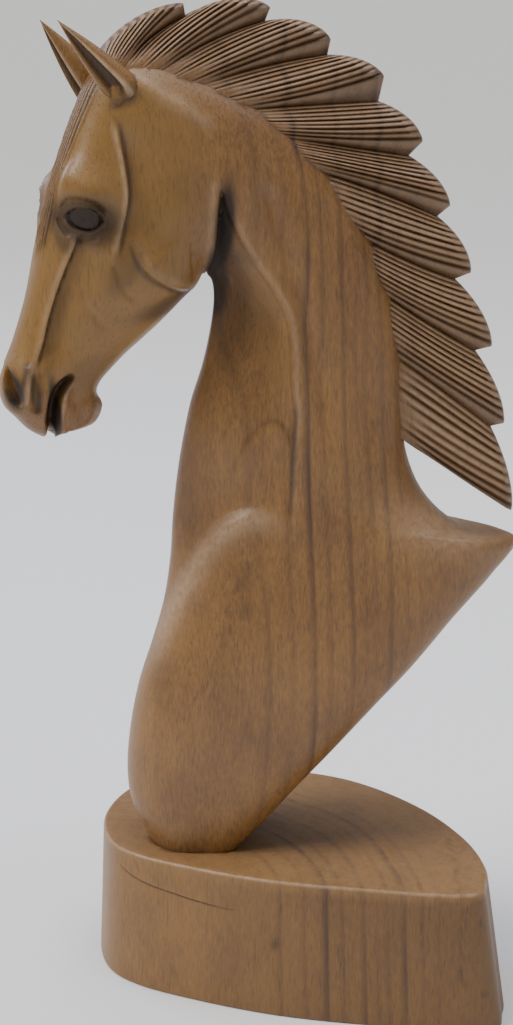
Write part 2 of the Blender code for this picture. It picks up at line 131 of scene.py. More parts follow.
def line_distance(x, z, points, far=9.0):
    """Signed distance to the curve through points, positive on its left, and the share of it passed."""
    line = through(points, np.linspace(0.0, len(points) - 1.0, 8 * len(points)))
    low, high = line.min(0) - far, line.max(0) + far
    near = np.flatnonzero((x > low[0]) & (x < high[0]) & (z > low[1]) & (z < high[1]))
    distance = np.full(len(x), far)
    share = np.zeros(len(x))
    start, run = line[:-1], np.diff(line, axis=0)
    best = np.full(len(near), np.inf)
    for k in range(len(run)):
        rel_x, rel_z = x[near] - start[k, 0], z[near] - start[k, 1]
        along = np.clip((rel_x * run[k, 0] + rel_z * run[k, 1]) / (run[k] ** 2).sum(), 0.0, 1.0)
        off = np.hypot(rel_x - along * run[k, 0], rel_z - along * run[k, 1])
        closer = off < best
        best = np.where(closer, off, best)
        side = np.sign(run[k, 0] * rel_z - run[k, 1] * rel_x)
        distance[near] = np.where(closer, off * side, distance[near])
        share[near] = np.where(closer, (k + along) / len(run), share[near])
    return distance, share


def ends(share, fade):
    """1 along a stroke, falling to 0 at both of its ends."""
    return smooth(share / fade) * smooth((1.0 - share) / fade)


def groove(x, z, points, width, depth, fade=0.2, power=2.0):
    """A gouged channel: depth times exp(-(d / width)^power), narrowing towards its ends."""
    distance, share = line_distance(x, z, points)
    taper = ends(share, fade)
    return -depth * np.exp(-np.abs(distance / (width * (0.4 + 0.6 * taper))) ** power) * taper


def step(x, z, points, soft, reach, rise, fade=0.25):
    """A step up on the left of a line, which dies away within reach and narrows towards its ends."""
    distance, share = line_distance(x, z, points, 3.0 * reach)
    taper = ends(share, fade)
    beyond = np.exp(-(np.maximum(distance, 0.0) / (reach * (0.25 + 0.75 * taper))) ** 2)
    return rise * smooth(distance / soft + 0.5) * beyond * taper


def mound(x, z, centre, half_x, half_z, tilt, rise):
    """A swelling rise times exp(-(u^2 + v^2)), or a hollow where rise is negative."""
    c, s = np.cos(np.radians(tilt)), np.sin(np.radians(tilt))
    u = ((x - centre[0]) * c + (z - centre[1]) * s) / half_x
    v = ((z - centre[1]) * c - (x - centre[0]) * s) / half_z
    return rise * np.exp(-(u * u + v * v))


# %% [markdown]
# The body is one loft from the foot up through neck and poll and down to the muzzle. Each section is a
# superellipse between a point on the front line (chest, throat, jaw) and one on the back line (slanted
# back, crest, forehead, nose), so both outlines are exactly the drawn ones.

# %% The bust's sections
# From inside the plinth up to the muzzle: front edge x, z; back edge x, z; half width; squareness front, back
SECTIONS = np.array([
    (-10.3, 12.9, -3.9, 12.9, 5.1, 2.2, 6.0),
    (-13.0, 18.4, 0.75, 17.9, 5.8, 2.2, 6.0),
    (-13.6, 22.4, 4.0, 21.8, 6.4, 2.2, 6.0),
    (-13.2, 27.2, 7.8, 26.1, 7.0, 2.2, 5.5),
    (-12.2, 32.2, 12.1, 30.9, 7.2, 2.2, 4.8),
    (-10.8, 36.6, 16.3, 35.4, 7.1, 2.2, 4.0),
    (-9.5, 41.2, 20.2, 40.0, 6.7, 2.2, 3.2),
    (-8.8, 45.8, 24.1, 44.4, 6.2, 2.2, 2.6),
    (-8.5, 50.0, 26.3, 47.8, 5.8, 2.2, 2.0),
    (-8.0, 54.6, 20.9, 48.9, 5.5, 2.2, 2.2),
    (-7.3, 58.6, 17.0, 52.3, 5.3, 2.2, 2.4),
    (-6.5, 62.2, 14.95, 57.0, 5.2, 2.2, 2.4),
    (-5.35, 65.8, 14.6, 61.8, 5.1, 2.2, 2.2),
    (-4.55, 69.4, 14.3, 66.8, 4.9, 2.2, 2.2),
    (-4.2, 72.2, 13.5, 71.8, 4.8, 2.2, 2.2),
    (-4.35, 74.0, 12.1, 76.6, 4.7, 2.2, 2.2),
    (-4.8, 74.7, 10.0, 80.8, 4.7, 2.2, 2.2),
    (-4.9, 75.0, 7.4, 84.6, 4.7, 2.2, 2.2),
    (-5.0, 75.1, 4.4, 88.0, 4.8, 2.2, 2.2),
    (-5.1, 75.1, 0.8, 91.0, 5.0, 2.2, 2.2),
    (-5.2, 74.9, -3.4, 93.2, 5.1, 2.3, 2.2),
    (-5.5, 74.8, -7.8, 94.8, 5.2, 2.4, 2.3),
    (-5.8, 74.2, -11.8, 95.6, 5.2, 2.5, 2.5),
    (-6.3, 73.5, -15.2, 94.5, 5.2, 2.6, 2.7),
    (-7.2, 72.8, -17.1, 90.9, 5.2, 2.7, 2.8),
    (-8.4, 71.7, -18.8, 86.8, 5.4, 2.7, 2.8),
    (-9.9, 70.3, -20.3, 82.5, 5.3, 2.6, 2.6),
    (-11.5, 68.9, -21.5, 78.2, 4.6, 2.5, 2.5),
    (-13.1, 67.55, -22.6, 73.4, 4.0, 2.4, 2.4),
    (-14.6, 66.1, -23.9, 69.4, 3.6, 2.4, 2.4),
    (-15.7, 64.9, -25.0, 66.7, 3.4, 2.4, 2.4),
    (-16.1, 63.8, -25.5, 64.8, 3.3, 2.4, 2.4),
    (-15.5, 62.4, -25.2, 63.0, 3.1, 2.4, 2.4),
    (-16.2, 60.8, -24.2, 61.8, 2.8, 2.4, 2.4),
    (-17.6, 60.2, -23.1, 60.6, 2.4, 2.4, 2.4),
    (-19.0, 60.1, -22.1, 59.9, 1.8, 2.3, 2.3),
    (-20.0, 59.6, -21.3, 59.5, 0.9, 2.0, 2.0),
])

# How many rings there are to each stretch of sections, before the carving divides them further
RINGS_PER_SECTION = [(0.0, 4.6), (13.0, 5.0), (22.0, 5.5), (28.0, 4.5), (30.0, 3.0), (36.0, 3.0)]
NEAR_COLUMNS = 40
FAR_COLUMNS = 28
BODY_ROUNDS = 3


def ring_places():
    """Fractional section numbers whose spacing is one over the wanted rings per section."""
    fine = np.linspace(0.0, len(SECTIONS) - 1.0, 4000)
    places, density = np.array(RINGS_PER_SECTION).T
    counted = np.concatenate([[0.0], np.cumsum(np.interp(fine[1:], places, density) * np.diff(fine))])
    return np.interp(np.linspace(0.0, counted[-1], int(counted[-1]) + 1), counted, fine)


print(len(SECTIONS), "sections give", len(ring_places()), "rings")

# %% [markdown]
# All the side's relief is one sum of strokes over the flat layout: steps for the jowl, the temple plate and
# the shoulder, channels for the throat, the mouth and the neck's folds, swellings for brow, eye and nostril.

# %% The carving on the side
JOWL = [(-3.9, 84.8), (-4.25, 83.0), (-4.4, 81.5), (-4.5, 78.6), (-4.8, 76.3), (-5.4, 74.9), (-6.6, 73.6)]
RIDGE = [(-3.9, 84.6), (-3.0, 81.4), (-2.2, 79.6), (-1.2, 77.8), (-0.1, 76.1), (1.5, 74.1), (2.7, 72.0),
         (3.3, 70.0), (3.5, 67.5), (3.6, 64.5), (3.8, 61.6), (3.5, 58.3), (3.4, 53.3), (3.3, 49.0)]
RIDGE_CREASE = [(3.7, 63.0), (3.8, 61.0), (3.6, 58.3), (3.4, 54.5), (3.3, 50.5)]
ARCH = [(3.4, 54.0), (3.3, 57.8), (2.8, 59.9), (1.8, 60.8), (0.4, 60.3), (-1.0, 58.9), (-1.9, 57.1),
        (-3.0, 54.6)]
SHOULDER = [(-12.4, 33.0), (-11.0, 36.6), (-9.8, 39.8), (-8.8, 41.9), (-7.2, 45.1), (-5.9, 47.5), (-4.5, 49.4),
            (-2.8, 50.9), (-1.2, 51.7), (0.8, 51.9), (3.2, 51.2)]
CHEEK = [(-13.6, 79.2), (-12.9, 77.1), (-12.1, 75.9), (-11.1, 75.2), (-8.6, 74.1), (-6.8, 73.7), (-5.4, 74.4)]
TEMPLE = [(-14.6, 90.2), (-14.2, 88.4), (-13.8, 85.9), (-13.6, 83.4), (-13.9, 81.3), (-14.5, 79.1),
          (-15.1, 77.4)]
BRIDGE = [(-17.9, 79.9), (-18.6, 78.5), (-20.0, 74.9), (-21.1, 71.4), (-21.7, 69.1), (-22.8, 66.5)]
MOUTH = [(-18.8, 66.4), (-19.4, 65.7), (-20.3, 64.6), (-20.8, 63.5), (-21.0, 62.2), (-21.0, 60.5),
         (-20.9, 57.5)]
LIP = [(-19.0, 65.7), (-19.6, 64.4), (-19.9, 63.2), (-20.1, 61.7), (-20.0, 59.9)]
FOLD = [(-22.7, 67.6), (-23.1, 66.2), (-23.5, 64.9), (-23.5, 63.2)]
NECK_FOLDS = (
    ([(0.4, 84.2), (1.2, 82.4), (2.7, 77.7), (4.1, 72.9), (5.4, 68.1), (6.3, 63.5), (6.8, 57.0)], 0.9, 0.62),
    ([(6.0, 83.0), (7.0, 79.5), (8.5, 73.8), (9.7, 67.9), (10.6, 62.1), (10.9, 56.0)], 1.0, 0.55),
)
POLL_RIDGE = [(-13.2, 94.6), (-12.2, 93.6), (-9.5, 91.8), (-7.0, 90.6), (-4.0, 88.8)]
EYE = (-17.6, 81.1)
EYE_TILT = -8.0


def broad_carving(x, z):
    """The forms that the plain solid has too."""
    behind_jowl, _ = line_distance(x, z, JOWL, 30.0)
    before_ridge, _ = line_distance(x, z, RIDGE, 30.0)
    deep = 2.3 * smooth((z - 57.0) / 20.0)
    recess = 0.5 * smooth(-before_ridge / 0.45) + deep * smooth(-before_ridge / 3.0)
    relief = -recess * smooth(behind_jowl / 0.5) * smooth((z - 50.0) / 9.0) * smooth((84.9 - z) / 2.2)
    relief += mound(x, z, (-8.4, 79.8), 4.8, 5.4, 0.0, 0.85)
    relief += step(x, z, CHEEK, 0.55, 3.4, 0.8, 0.35)
    relief -= step(x, z, TEMPLE, 0.5, 2.6, 0.75, 0.3)
    relief += mound(x, z, (-17.4, 83.7), 3.0, 1.7, -12.0, 0.9)
    relief += mound(x, z, (-17.6, 80.9), 2.5, 1.5, EYE_TILT, -1.0)
    relief -= step(x, z, BRIDGE, 0.4, 2.3, 0.75)
    relief += mound(x, z, (-15.4, 74.4), 1.6, 3.4, -38.0, 0.3)
    relief += mound(x, z, (-23.5, 65.6), 1.5, 2.2, 15.0, 0.6)
    relief += groove(x, z, MOUTH, 0.52, 1.7, 0.3, 3.0)
    relief += mound(x, z, (-16.9, 62.6), 1.0, 1.2, 0.0, 0.6)
    relief -= step(x, z, SHOULDER, 1.3, 6.0, 0.95, 0.3)
    relief += groove(x, z, SHOULDER, 1.3, -0.22)
    relief += mound(x, z, (-4.6, 43.0), 6.0, 9.0, 0.0, 0.4)
    relief += step(x, z, ARCH, 0.6, 2.0, 0.16)
    relief += groove(x, z, RIDGE_CREASE, 0.5, 0.22)
    relief += groove(x, z, POLL_RIDGE, 0.7, -0.4, 0.35)
    for line, width, depth in NECK_FOLDS:
        relief += groove(x, z, line, width, depth)
    return relief


# %% [markdown]
# The eye is a ball between two raised lids, and thin tool lines lie around it, on the cheek and on the lips.
# They are too fine for the plain solid, so they are drawn only here, in the mesh itself and not as colour.

# %% The fine carving
EYE_HALF_X = 1.3
EYE_HALF_Z = 0.98
EYE_RISE = 0.95
NOSTRIL_RIM = [(-22.6, 67.6), (-22.4, 65.3), (-22.5, 64.0), (-22.5, 62.3)]
# Upper lid, lower lid and the crease above: line, width, depth (a raised line is negative), fading share
LIDS = (
    ([(-19.4, 81.3), (-18.9, 81.8), (-18.2, 82.1), (-17.3, 82.1), (-16.6, 81.8), (-15.7, 81.1)],
     0.22, -0.42, 0.12),
    ([(-19.4, 81.0), (-18.9, 80.3), (-18.2, 79.95), (-17.3, 79.9), (-16.5, 80.3), (-15.8, 81.0)],
     0.2, -0.32, 0.12),
    ([(-19.7, 81.7), (-18.9, 82.6), (-17.9, 82.9), (-16.8, 82.6), (-15.4, 81.4)], 0.16, 0.3, 0.2),
)
# Tool lines: line, width and depth
CREASES = (
    ([(-19.8, 81.2), (-19.6, 80.3), (-19.0, 79.4)], 0.22, 0.3),
    ([(-18.6, 79.3), (-17.4, 79.1), (-16.4, 79.4)], 0.25, 0.15),
    ([(-15.4, 77.2), (-14.7, 75.5), (-14.0, 74.1), (-12.3, 72.9)], 0.3, 0.3),
    ([(-17.5, 73.0), (-16.8, 71.6), (-15.5, 70.4)], 0.3, 0.25),
    ([(-19.7, 68.9), (-19.0, 68.3), (-18.1, 68.3)], 0.2, 0.16),
    ([(-19.4, 68.2), (-18.6, 67.7), (-17.9, 67.9)], 0.18, 0.12),
    ([(-21.6, 73.0), (-22.1, 71.0), (-22.5, 69.0)], 0.1, 0.12),
    ([(-5.8, 89.7), (-4.8, 89.0), (-2.8, 87.5), (-1.0, 86.0)], 0.13, 0.12),
)


def fine_carving(x, z):
    """Eyeball sqrt(1 - u^2 - v^2), lids, nostril rim, lips and tool lines."""
    c, s = np.cos(np.radians(EYE_TILT)), np.sin(np.radians(EYE_TILT))
    u = ((x - EYE[0]) * c + (z - EYE[1]) * s) / EYE_HALF_X
    v = ((z - EYE[1]) * c - (x - EYE[0]) * s) / EYE_HALF_Z
    relief = EYE_RISE * np.sqrt(np.clip(1.0 - u * u - v * v, 0.0, 1.0))
    relief += mound(x, z, (-17.7, 81.2), 0.34, 0.34, 0.0, -0.12)
    for line, width, depth, fade in LIDS:
        relief += groove(x, z, line, width, depth, fade)
    relief += groove(x, z, FOLD, 0.4, -0.35)
    relief += groove(x, z, NOSTRIL_RIM, 0.6, 0.55)
    relief += mound(x, z, (-21.6, 63.0), 0.6, 2.2, 8.0, 0.35)
    relief += groove(x, z, LIP, 0.3, -0.35)
    relief += mound(x, z, (-18.6, 63.4), 0.7, 1.7, 18.0, -0.5)
    for line, width, depth in CREASES:
        relief += groove(x, z, line, width, depth)
    return relief


print("relief at the eye", fine_carving(np.array([EYE[0]]), np.array([EYE[1]])))

# %% [markdown]
# The head is not in the plane of the bust: it looks a little towards the viewer. Laying it out flat and then
# bending the layout about an upright axis keeps the drawing simple.

# %% From layout to metres
def turn_head(points):
    """Bends the layout about an upright axis, so that the head faces towards the near side."""
    x, y, z = points.T
    arc = TURN_START_X - TURN_END_X
    radius = arc / HEAD_TURN
    ahead = TURN_START_X - x
    angle = np.clip(ahead / radius, 0.0, HEAD_TURN)
    beyond = np.maximum(ahead - arc, 0.0)
    turned_x = TURN_START_X - (radius + y) * np.sin(angle) - beyond * np.cos(HEAD_TURN)
    turned_y = (radius + y) * np.cos(angle) - radius - beyond * np.sin(HEAD_TURN)
    weight = smooth((z - TURN_FADE[0]) / (TURN_FADE[1] - TURN_FADE[0])) * (ahead > 0.0)
    return np.stack([x + weight * (turned_x - x), y + weight * (turned_y - y), z], 1)


def to_metres(layout):
    """Layout units to metres: the layout's foot level becomes the plinth's top."""
    flat = turn_head(layout.reshape(-1, 3))
    flat[:, 2] -= FOOT_LEVEL
    flat *= UNIT
    flat[:, 2] += PLINTH_HEIGHT
    return flat.reshape(layout.shape)


print("the lip's tip in metres", to_metres(np.array([[-25.5, 0.0, 64.8]])))

# %% [markdown]
# A ring's points lie on the section, moved aside by the relief. The brows, the lock of hair on the forehead,
# the nostrils and the end of the mouth face forward, so they are pushed along the section instead.

# %% The body's surface
# Forelock: the level of its upper and lower end, its half width and its middle's y there, and its ridges
FORELOCK_LEVELS = (93.5, 76.5)
FORELOCK_HALF = (2.2, 1.3)
FORELOCK_MIDDLE = (-0.7, -1.3)
FORELOCK_RIDGES = 7
FORELOCK_RISE = 0.3
NEAR_BROW = (84.2, 0.6)
FAR_BROW = (81.3, 1.9)
BROW_ASIDE = 3.8
BROW_HALF_HEIGHT = 2.4
BROW_HALF_WIDTH = 1.2
HEAD_SECTION = 23.0
NOSTRIL = (-24.6, -1.9, 65.0)
NOSTRIL_LONG = (0.28, -0.42, -0.86)
NOSTRIL_INWARD = (0.80, 0.58, 0.12)
# Half length, half width, depth, and the depths over which a dent reaches fully and fades
NOSTRIL_SIZES = (1.9, 0.72, 1.3, 0.7, 0.8)
MOUTH_END = ((-20.95, 0.0, 59.3), (0.0, 1.0, 0.0), (0.0, 0.0, 1.0))
MOUTH_END_SIZES = (3.0, 0.5, 0.8, 0.6, 2.4)


def forelock(y, z):
    """Lock of hair on the forehead: 1 within its band, and |sin| ridges across it, as two arrays."""
    top, bottom = FORELOCK_LEVELS
    along = np.clip((top - z) / (top - bottom), 0.0, 1.0)
    half = FORELOCK_HALF[0] + (FORELOCK_HALF[1] - FORELOCK_HALF[0]) * along
    off = y - FORELOCK_MIDDLE[0] - (FORELOCK_MIDDLE[1] - FORELOCK_MIDDLE[0]) * along
    band = smooth((half - np.abs(off)) / 0.3) * smooth((z - bottom) / 3.0) * smooth((top + 1.0 - z) / 0.6)
    return band, np.abs(np.sin(0.5 * np.pi * FORELOCK_RIDGES * (off / half + 1.0)))


def dent(points, centre, long_way, inward, half_long, half_short, depth, full, fade):
    """Pushes points inward by depth within an ellipse, fully up to full deep and less over fade more."""
    n = np.array(inward) / np.linalg.norm(inward)
    u = np.array(long_way) - np.dot(long_way, n) * n
    u /= np.linalg.norm(u)
    v = np.cross(n, u)
    rel = points - np.array(centre)
    reach = np.hypot(rel @ u / half_long, rel @ v / half_short)
    near = smooth((full + fade - np.abs(rel @ n)) / fade)
    return points + (depth * smooth((1.2 - reach) / 0.55) * near)[..., None] * n


def body_points(at, angle):
    """Sections |u|^p + |v|^p = 1 between front and back line, moved out by the carving; layout x, y, z."""
    front_x, front_z, back_x, back_z, half, front_power, back_power = through(SECTIONS, at).T
    power = np.where(np.cos(angle) < 0.0, front_power, back_power)
    radius = (np.abs(np.cos(angle)) ** power + np.abs(np.sin(angle)) ** power) ** (-1.0 / power)
    along = np.cos(angle) * radius
    out = np.abs(np.sin(angle)) * radius
    x = 0.5 * ((front_x + back_x) + along * (back_x - front_x))
    z = 0.5 * ((front_z + back_z) + along * (back_z - front_z))
    relief = broad_carving(x, z) + fine_carving(x, z)
    y = -np.sign(np.sin(angle)) * (half * out + relief * smooth(1.4 * out) * np.minimum(1.0, half / 3.0))
    length = np.hypot(back_x - front_x, back_z - front_z)
    aside = (np.abs(y) - BROW_ASIDE) / BROW_HALF_WIDTH
    level, push = np.where(y[None, :] > 0.0, np.array(FAR_BROW)[:, None], np.array(NEAR_BROW)[:, None])
    brow = push * np.exp(-aside ** 2 - ((z - level) / BROW_HALF_HEIGHT) ** 2)
    band, ridges = forelock(y, z)
    hair = band * (FORELOCK_RISE * ridges ** 0.7 - 0.05)
    forward = (hair + brow) * smooth((along - 0.2) / 0.5) * smooth(at - HEAD_SECTION)
    x = x + forward * (back_x - front_x) / length
    z = z + forward * (back_z - front_z) / length
    points = np.stack([x, y, z], 1)
    for side in (1.0, -1.0):
        nostril = np.array([NOSTRIL, NOSTRIL_LONG, NOSTRIL_INWARD]) * (1.0, side, 1.0)
        points = dent(points, *nostril, *NOSTRIL_SIZES)
    return dent(points, *MOUTH_END, *MOUTH_END_SIZES)


print("near side at section 5", body_points(np.array([5.0]), np.array([0.5 * np.pi])))

# %% [markdown]
# Crisp cuts need short edges and plain wood doesn't, so each point of the body says how long its edges may be.

# %% Where the mesh has to be fine
# Crisp lines with the edge length that they need, and round places with their radius and edge length
FINE_LINES = (
    (JOWL, 0.22), (RIDGE, 0.26), (RIDGE_CREASE, 0.2), (CHEEK, 0.16), (TEMPLE, 0.16), (BRIDGE, 0.14),
    (MOUTH, 0.15), (LIP, 0.15), (FOLD, 0.15), (ARCH, 0.24), (SHOULDER, 0.34), (POLL_RIDGE, 0.34),
    (NECK_FOLDS[0][0], 0.45),
)
FINE_SPOTS = (
    ((-17.6, 81.1), 2.4, 0.12), ((-20.9, 59.8), 1.0, 0.13), ((-23.0, 64.5), 3.0, 0.17),
    ((-19.8, 62.5), 2.6, 0.2), ((-17.8, 85.5), 4.6, 0.26), ((-15.0, 76.0), 8.0, 0.42),
)


def wanted_edge(points):
    """The longest edge allowed at each point of the body: short by crisp lines, longer on the far side."""
    x, y, z = points.T
    wanted = np.where(z > 58.0, 0.7, 1.0)
    for line, short in FINE_LINES:
        distance, _ = line_distance(x, z, line, 3.0)
        wanted = np.minimum(wanted, short + 0.6 * np.maximum(np.abs(distance) - 0.7, 0.0))
    for (centre_x, centre_z), radius, short in FINE_SPOTS:
        off = np.hypot(x - centre_x, z - centre_z)
        wanted = np.minimum(wanted, short + 0.5 * np.maximum(off - radius, 0.0))
    wanted = np.where(y > 1.5, np.maximum(1.7 * wanted, 0.3), wanted)
    hair = (np.abs(y + 1.0) < 2.8) & (z > FORELOCK_LEVELS[1]) & (z < FORELOCK_LEVELS[0] + 1.0) & (x < -13.0)
    return np.where(hair, np.minimum(wanted, 0.15), wanted)


# %% [markdown]
# A grid fine enough for the eyelids would be far too heavy on the plain chest. So the grid starts coarse, in
# the surface's own two parameters, and only edges that are longer in space than the carving allows there are
# halved. The columns beside the seam stay whole, so that both edges of the sheet meet point for point.

# %% Grids that are divided where it matters
def divided_grid(first, second, surface, wanted, rounds):
    """Grid over two parameters, the second one closed; returns a bmesh that still lies in parameter space."""
    rows, columns = len(first), len(second)
    u, v = np.meshgrid(first, second, indexing="ij")
    corner = (np.arange(rows - 1)[:, None] * columns + np.arange(columns - 1)[None, :]).ravel()
    quads = np.stack([corner, corner + 1, corner + columns + 1, corner + columns], 1)
    mesh = bpy.data.meshes.new("parameters")
    mesh.from_pydata(np.stack([u.ravel(), v.ravel(), np.zeros(u.size)], 1).tolist(), [], quads.tolist())
    grid = bmesh.new()
    grid.from_mesh(mesh)
    bpy.data.meshes.remove(mesh)
    low, high = second[1], second[-2]
    for _ in range(rounds):
        places = np.array([vert.co[:2] for vert in grid.verts])
        ends_of = np.array([(edge.verts[0].index, edge.verts[1].index) for edge in grid.edges])
        space = surface(places[:, 0], places[:, 1])
        length = np.linalg.norm(space[ends_of[:, 0]] - space[ends_of[:, 1]], axis=1)
        allowed = wanted(0.5 * (space[ends_of[:, 0]] + space[ends_of[:, 1]]))
        middle = 0.5 * (places[ends_of[:, 0]] + places[ends_of[:, 1]])
        inside = (middle[:, 1] > low) & (middle[:, 1] < high)
        inside &= (middle[:, 0] > first[1]) & (middle[:, 0] < first[-2])
        chosen = np.flatnonzero((length > 1.35 * allowed) & inside)
        grid.edges.ensure_lookup_table()
        bmesh.ops.subdivide_edges(
            grid, edges=[grid.edges[i] for i in chosen.tolist()], cuts=1, use_grid_fill=True,
            use_single_edge=True, quad_corner_type="INNER_VERT",
        )
        grid.verts.index_update()
    return grid


def close_grid(name, grid, space):
    """Puts the grid's points in space, joins its seam, caps both ends and turns the faces out."""
    for vert, place in zip(grid.verts, space.tolist()):
        vert.co = place
    border = list({vert for edge in grid.edges if edge.is_boundary for vert in edge.verts})
    bmesh.ops.remove_doubles(grid, verts=border, dist=1e-7)
    bmesh.ops.holes_fill(grid, edges=[edge for edge in grid.edges if edge.is_boundary], sides=0)
    bmesh.ops.triangulate(grid, faces=[face for face in grid.faces if len(face.verts) > 4])
    bmesh.ops.recalc_face_normals(grid, faces=grid.faces)
    mesh = bpy.data.meshes.new(name)
    grid.to_mesh(mesh)
    grid.free()
    return add_object(name, mesh)


# %% [markdown]
# The mane is a thin plate that grows out of the neck's crest, cut into ten locks like feathers. Every lock is
# a fan of V grooves made with a parting tool. One parameter counts the locks along the neck, the other runs
# from the root to the scalloped edge.

# %% The mane's surface
# Eleven bounding strands: root, middle and notch of each, as x, z
STRANDS = np.array([
    (-15.0, 95.0, -14.8, 95.8, -14.6, 96.4),
    (-13.6, 94.2, -10.5, 97.0, -6.7, 99.0),
    (-10.8, 93.4, -5.0, 96.6, 0.8, 98.6),
    (-7.6, 92.2, -0.2, 94.3, 6.7, 95.5),
    (-3.6, 90.4, 4.6, 90.9, 11.6, 91.2),
    (0.2, 88.4, 7.7, 87.3, 14.6, 86.1),
    (3.0, 85.6, 10.1, 83.7, 17.5, 80.3),
    (6.2, 80.8, 13.2, 77.3, 19.4, 74.2),
    (8.8, 75.6, 15.3, 71.3, 21.6, 67.1),
    (10.8, 68.8, 17.1, 64.3, 23.4, 59.4),
    (13.2, 59.4, 18.9, 55.2, 24.0, 52.0),
])
LOCK_TIPS = np.array([
    (-6.9, 100.2), (1.3, 99.8), (7.0, 96.9), (12.1, 93.5), (15.9, 87.4),
    (18.7, 81.3), (20.9, 74.8), (23.2, 67.5), (24.7, 59.7), (25.8, 50.7),
])
LOCK_SWELL = (0.8, 1.2, 0.95, 0.7, 0.75, 0.7, 0.75, 0.75, 0.65, 0.6)
GROOVES_PER_LOCK = 9
RIBS_PER_GROOVE = 6
MANE_STEPS = 20
LOCK_TIP_AT = 1.0 - 1.0 / 18.0
MANE_ROOT_HALF = 3.1
MANE_ROOT_THINNING = 1.2
MANE_EDGE_HALF = 1.7
MANE_RIM_HALF = 0.6
LOCK_VALLEY_DEPTH = 1.05
LOCK_LEAN = 1.35
GROOVE_DEPTH = 0.33
MANE_DROOP = 0.9


def mane_surface():
    """Strands are parabolas root, middle, edge; thickness is a taper less lock valleys and grooves."""
    locks = len(LOCK_TIPS)
    at = np.linspace(0.0, locks, locks * GROOVES_PER_LOCK * RIBS_PER_GROOVE + 1)
    root_x, root_z, mid_x, mid_z, _, _ = through(STRANDS, at).T
    lock = np.minimum(at.astype(int), locks - 1)
    inside = at - lock
    notch = STRANDS[:, 4:6]
    rising = np.minimum(inside / LOCK_TIP_AT, 1.0)[:, None]
    swell = np.array(LOCK_SWELL)[lock][:, None] * (4.0 * rising ** 1.25 * (1.0 - rising ** 1.25)) ** 0.8
    chord = LOCK_TIPS[lock] - notch[lock]
    outward = np.stack([-chord[:, 1], chord[:, 0]], 1) / np.hypot(*chord.T)[:, None]
    falling = np.clip((inside - LOCK_TIP_AT) / (1.0 - LOCK_TIP_AT), 0.0, 1.0)[:, None]
    edge = notch[lock] + rising * chord + swell * outward + falling * (notch[lock + 1] - LOCK_TIPS[lock])
    share = np.linspace(0.0, 1.0, MANE_STEPS)
    b = np.concatenate([share[:-1], [0.988, 1.0]])[None, :]
    plain = notch[lock] + inside[:, None] * (notch[lock + 1] - notch[lock])
    bend_x = 2.0 * mid_x - 0.5 * (root_x + plain[:, 0])
    bend_z = 2.0 * mid_z - 0.5 * (root_z + plain[:, 1])
    droop = MANE_DROOP * np.sin(np.pi * np.clip((at - 4.0) / 6.0, 0.0, 1.0)) ** 2
    length = np.hypot(plain[:, 0] - root_x, plain[:, 1] - root_z)
    bend_x = bend_x + droop * (plain[:, 1] - root_z) / length
    bend_z = bend_z - droop * (plain[:, 0] - root_x) / length
    x = ((1 - b) ** 2).T * root_x + (2 * b * (1 - b)).T * bend_x + (b ** 2).T * edge[:, 0]
    z = ((1 - b) ** 2).T * root_z + (2 * b * (1 - b)).T * bend_z + (b ** 2).T * edge[:, 1]
    ridge = np.sin(np.pi * inside ** LOCK_LEAN) ** 0.6
    teeth = 1.0 - np.abs(np.sin(np.pi * GROOVES_PER_LOCK * inside))
    uneven = 1.0 + 0.25 * np.sin(2.3 * np.floor(GROOVES_PER_LOCK * at + 0.5) ** 1.3)
    start = 0.10 + 0.07 * np.sin(1.7 * np.floor(GROOVES_PER_LOCK * at + 0.5))
    grown = smooth((b.T - start) / 0.3)
    cut = GROOVE_DEPTH * uneven * teeth * (0.65 + 0.35 * ridge)
    root_half = MANE_ROOT_HALF - MANE_ROOT_THINNING * smooth((at - 7.0) / 3.0)
    half = root_half + (MANE_EDGE_HALF - root_half) * (b ** 0.8).T
    half = half + smooth(b / 0.5).T * LOCK_VALLEY_DEPTH * (ridge - 1.0) - grown * cut
    rim = np.sqrt(np.clip(1.0 - ((b - 0.94) / 0.06).clip(0.0, 1.0) ** 2, 0.0, 1.0)).T
    half = np.maximum(half, MANE_RIM_HALF) * rim + 0.12 * (1.0 - rim)
    # Painted shade in the grooves and on the lower part of each lock, and pale ridges that are partly wear and
    # partly painted highlight, stronger on each lock's upper half
    shade = {
        "cut": grown * smooth(1.3 * teeth) * (0.42 + 0.25 * uneven),
        "worn": 0.42 * grown * (1.0 - teeth) ** 2 * (1.0 - 0.5 * smooth((inside - 0.5) / 0.4)),
        "stain": smooth(b.T / 0.3) * 0.35 * smooth((inside - 0.66) / 0.3),
        "tint": -smooth(b.T / 0.35) * np.ones(len(at)),
    }
    near = np.stack([x, -half, z], 2)
    far = np.stack([x, half, z], 2)[::-1]
    both = {name: np.concatenate([value, value[::-1]], 0).T for name, value in shade.items()}
    return np.concatenate([near, far], 0).transpose(1, 0, 2), both


# %% [markdown]
# Each ear is a leaf-shaped cone with a hollow gouged into the side that faces forward.

# %% The ears' surface
# Root and tip of each ear's axis, and the angle by which its hollow is turned towards the near side
NEAR_EAR = ((-12.5, -3.3, 91.6), (-19.4, -3.0, 98.9), 1.1)
FAR_EAR = ((-14.6, 2.2, 91.5), (-19.95, 2.6, 98.75), 0.35)
EAR_HALF_WIDTH = 1.75
EAR_HALF_THICK = 1.25
EAR_RINGS = 44
EAR_POINTS = 56
EAR_HOLLOW_DEPTH = 0.7
EAR_HOLLOW_WIDTH = 0.09


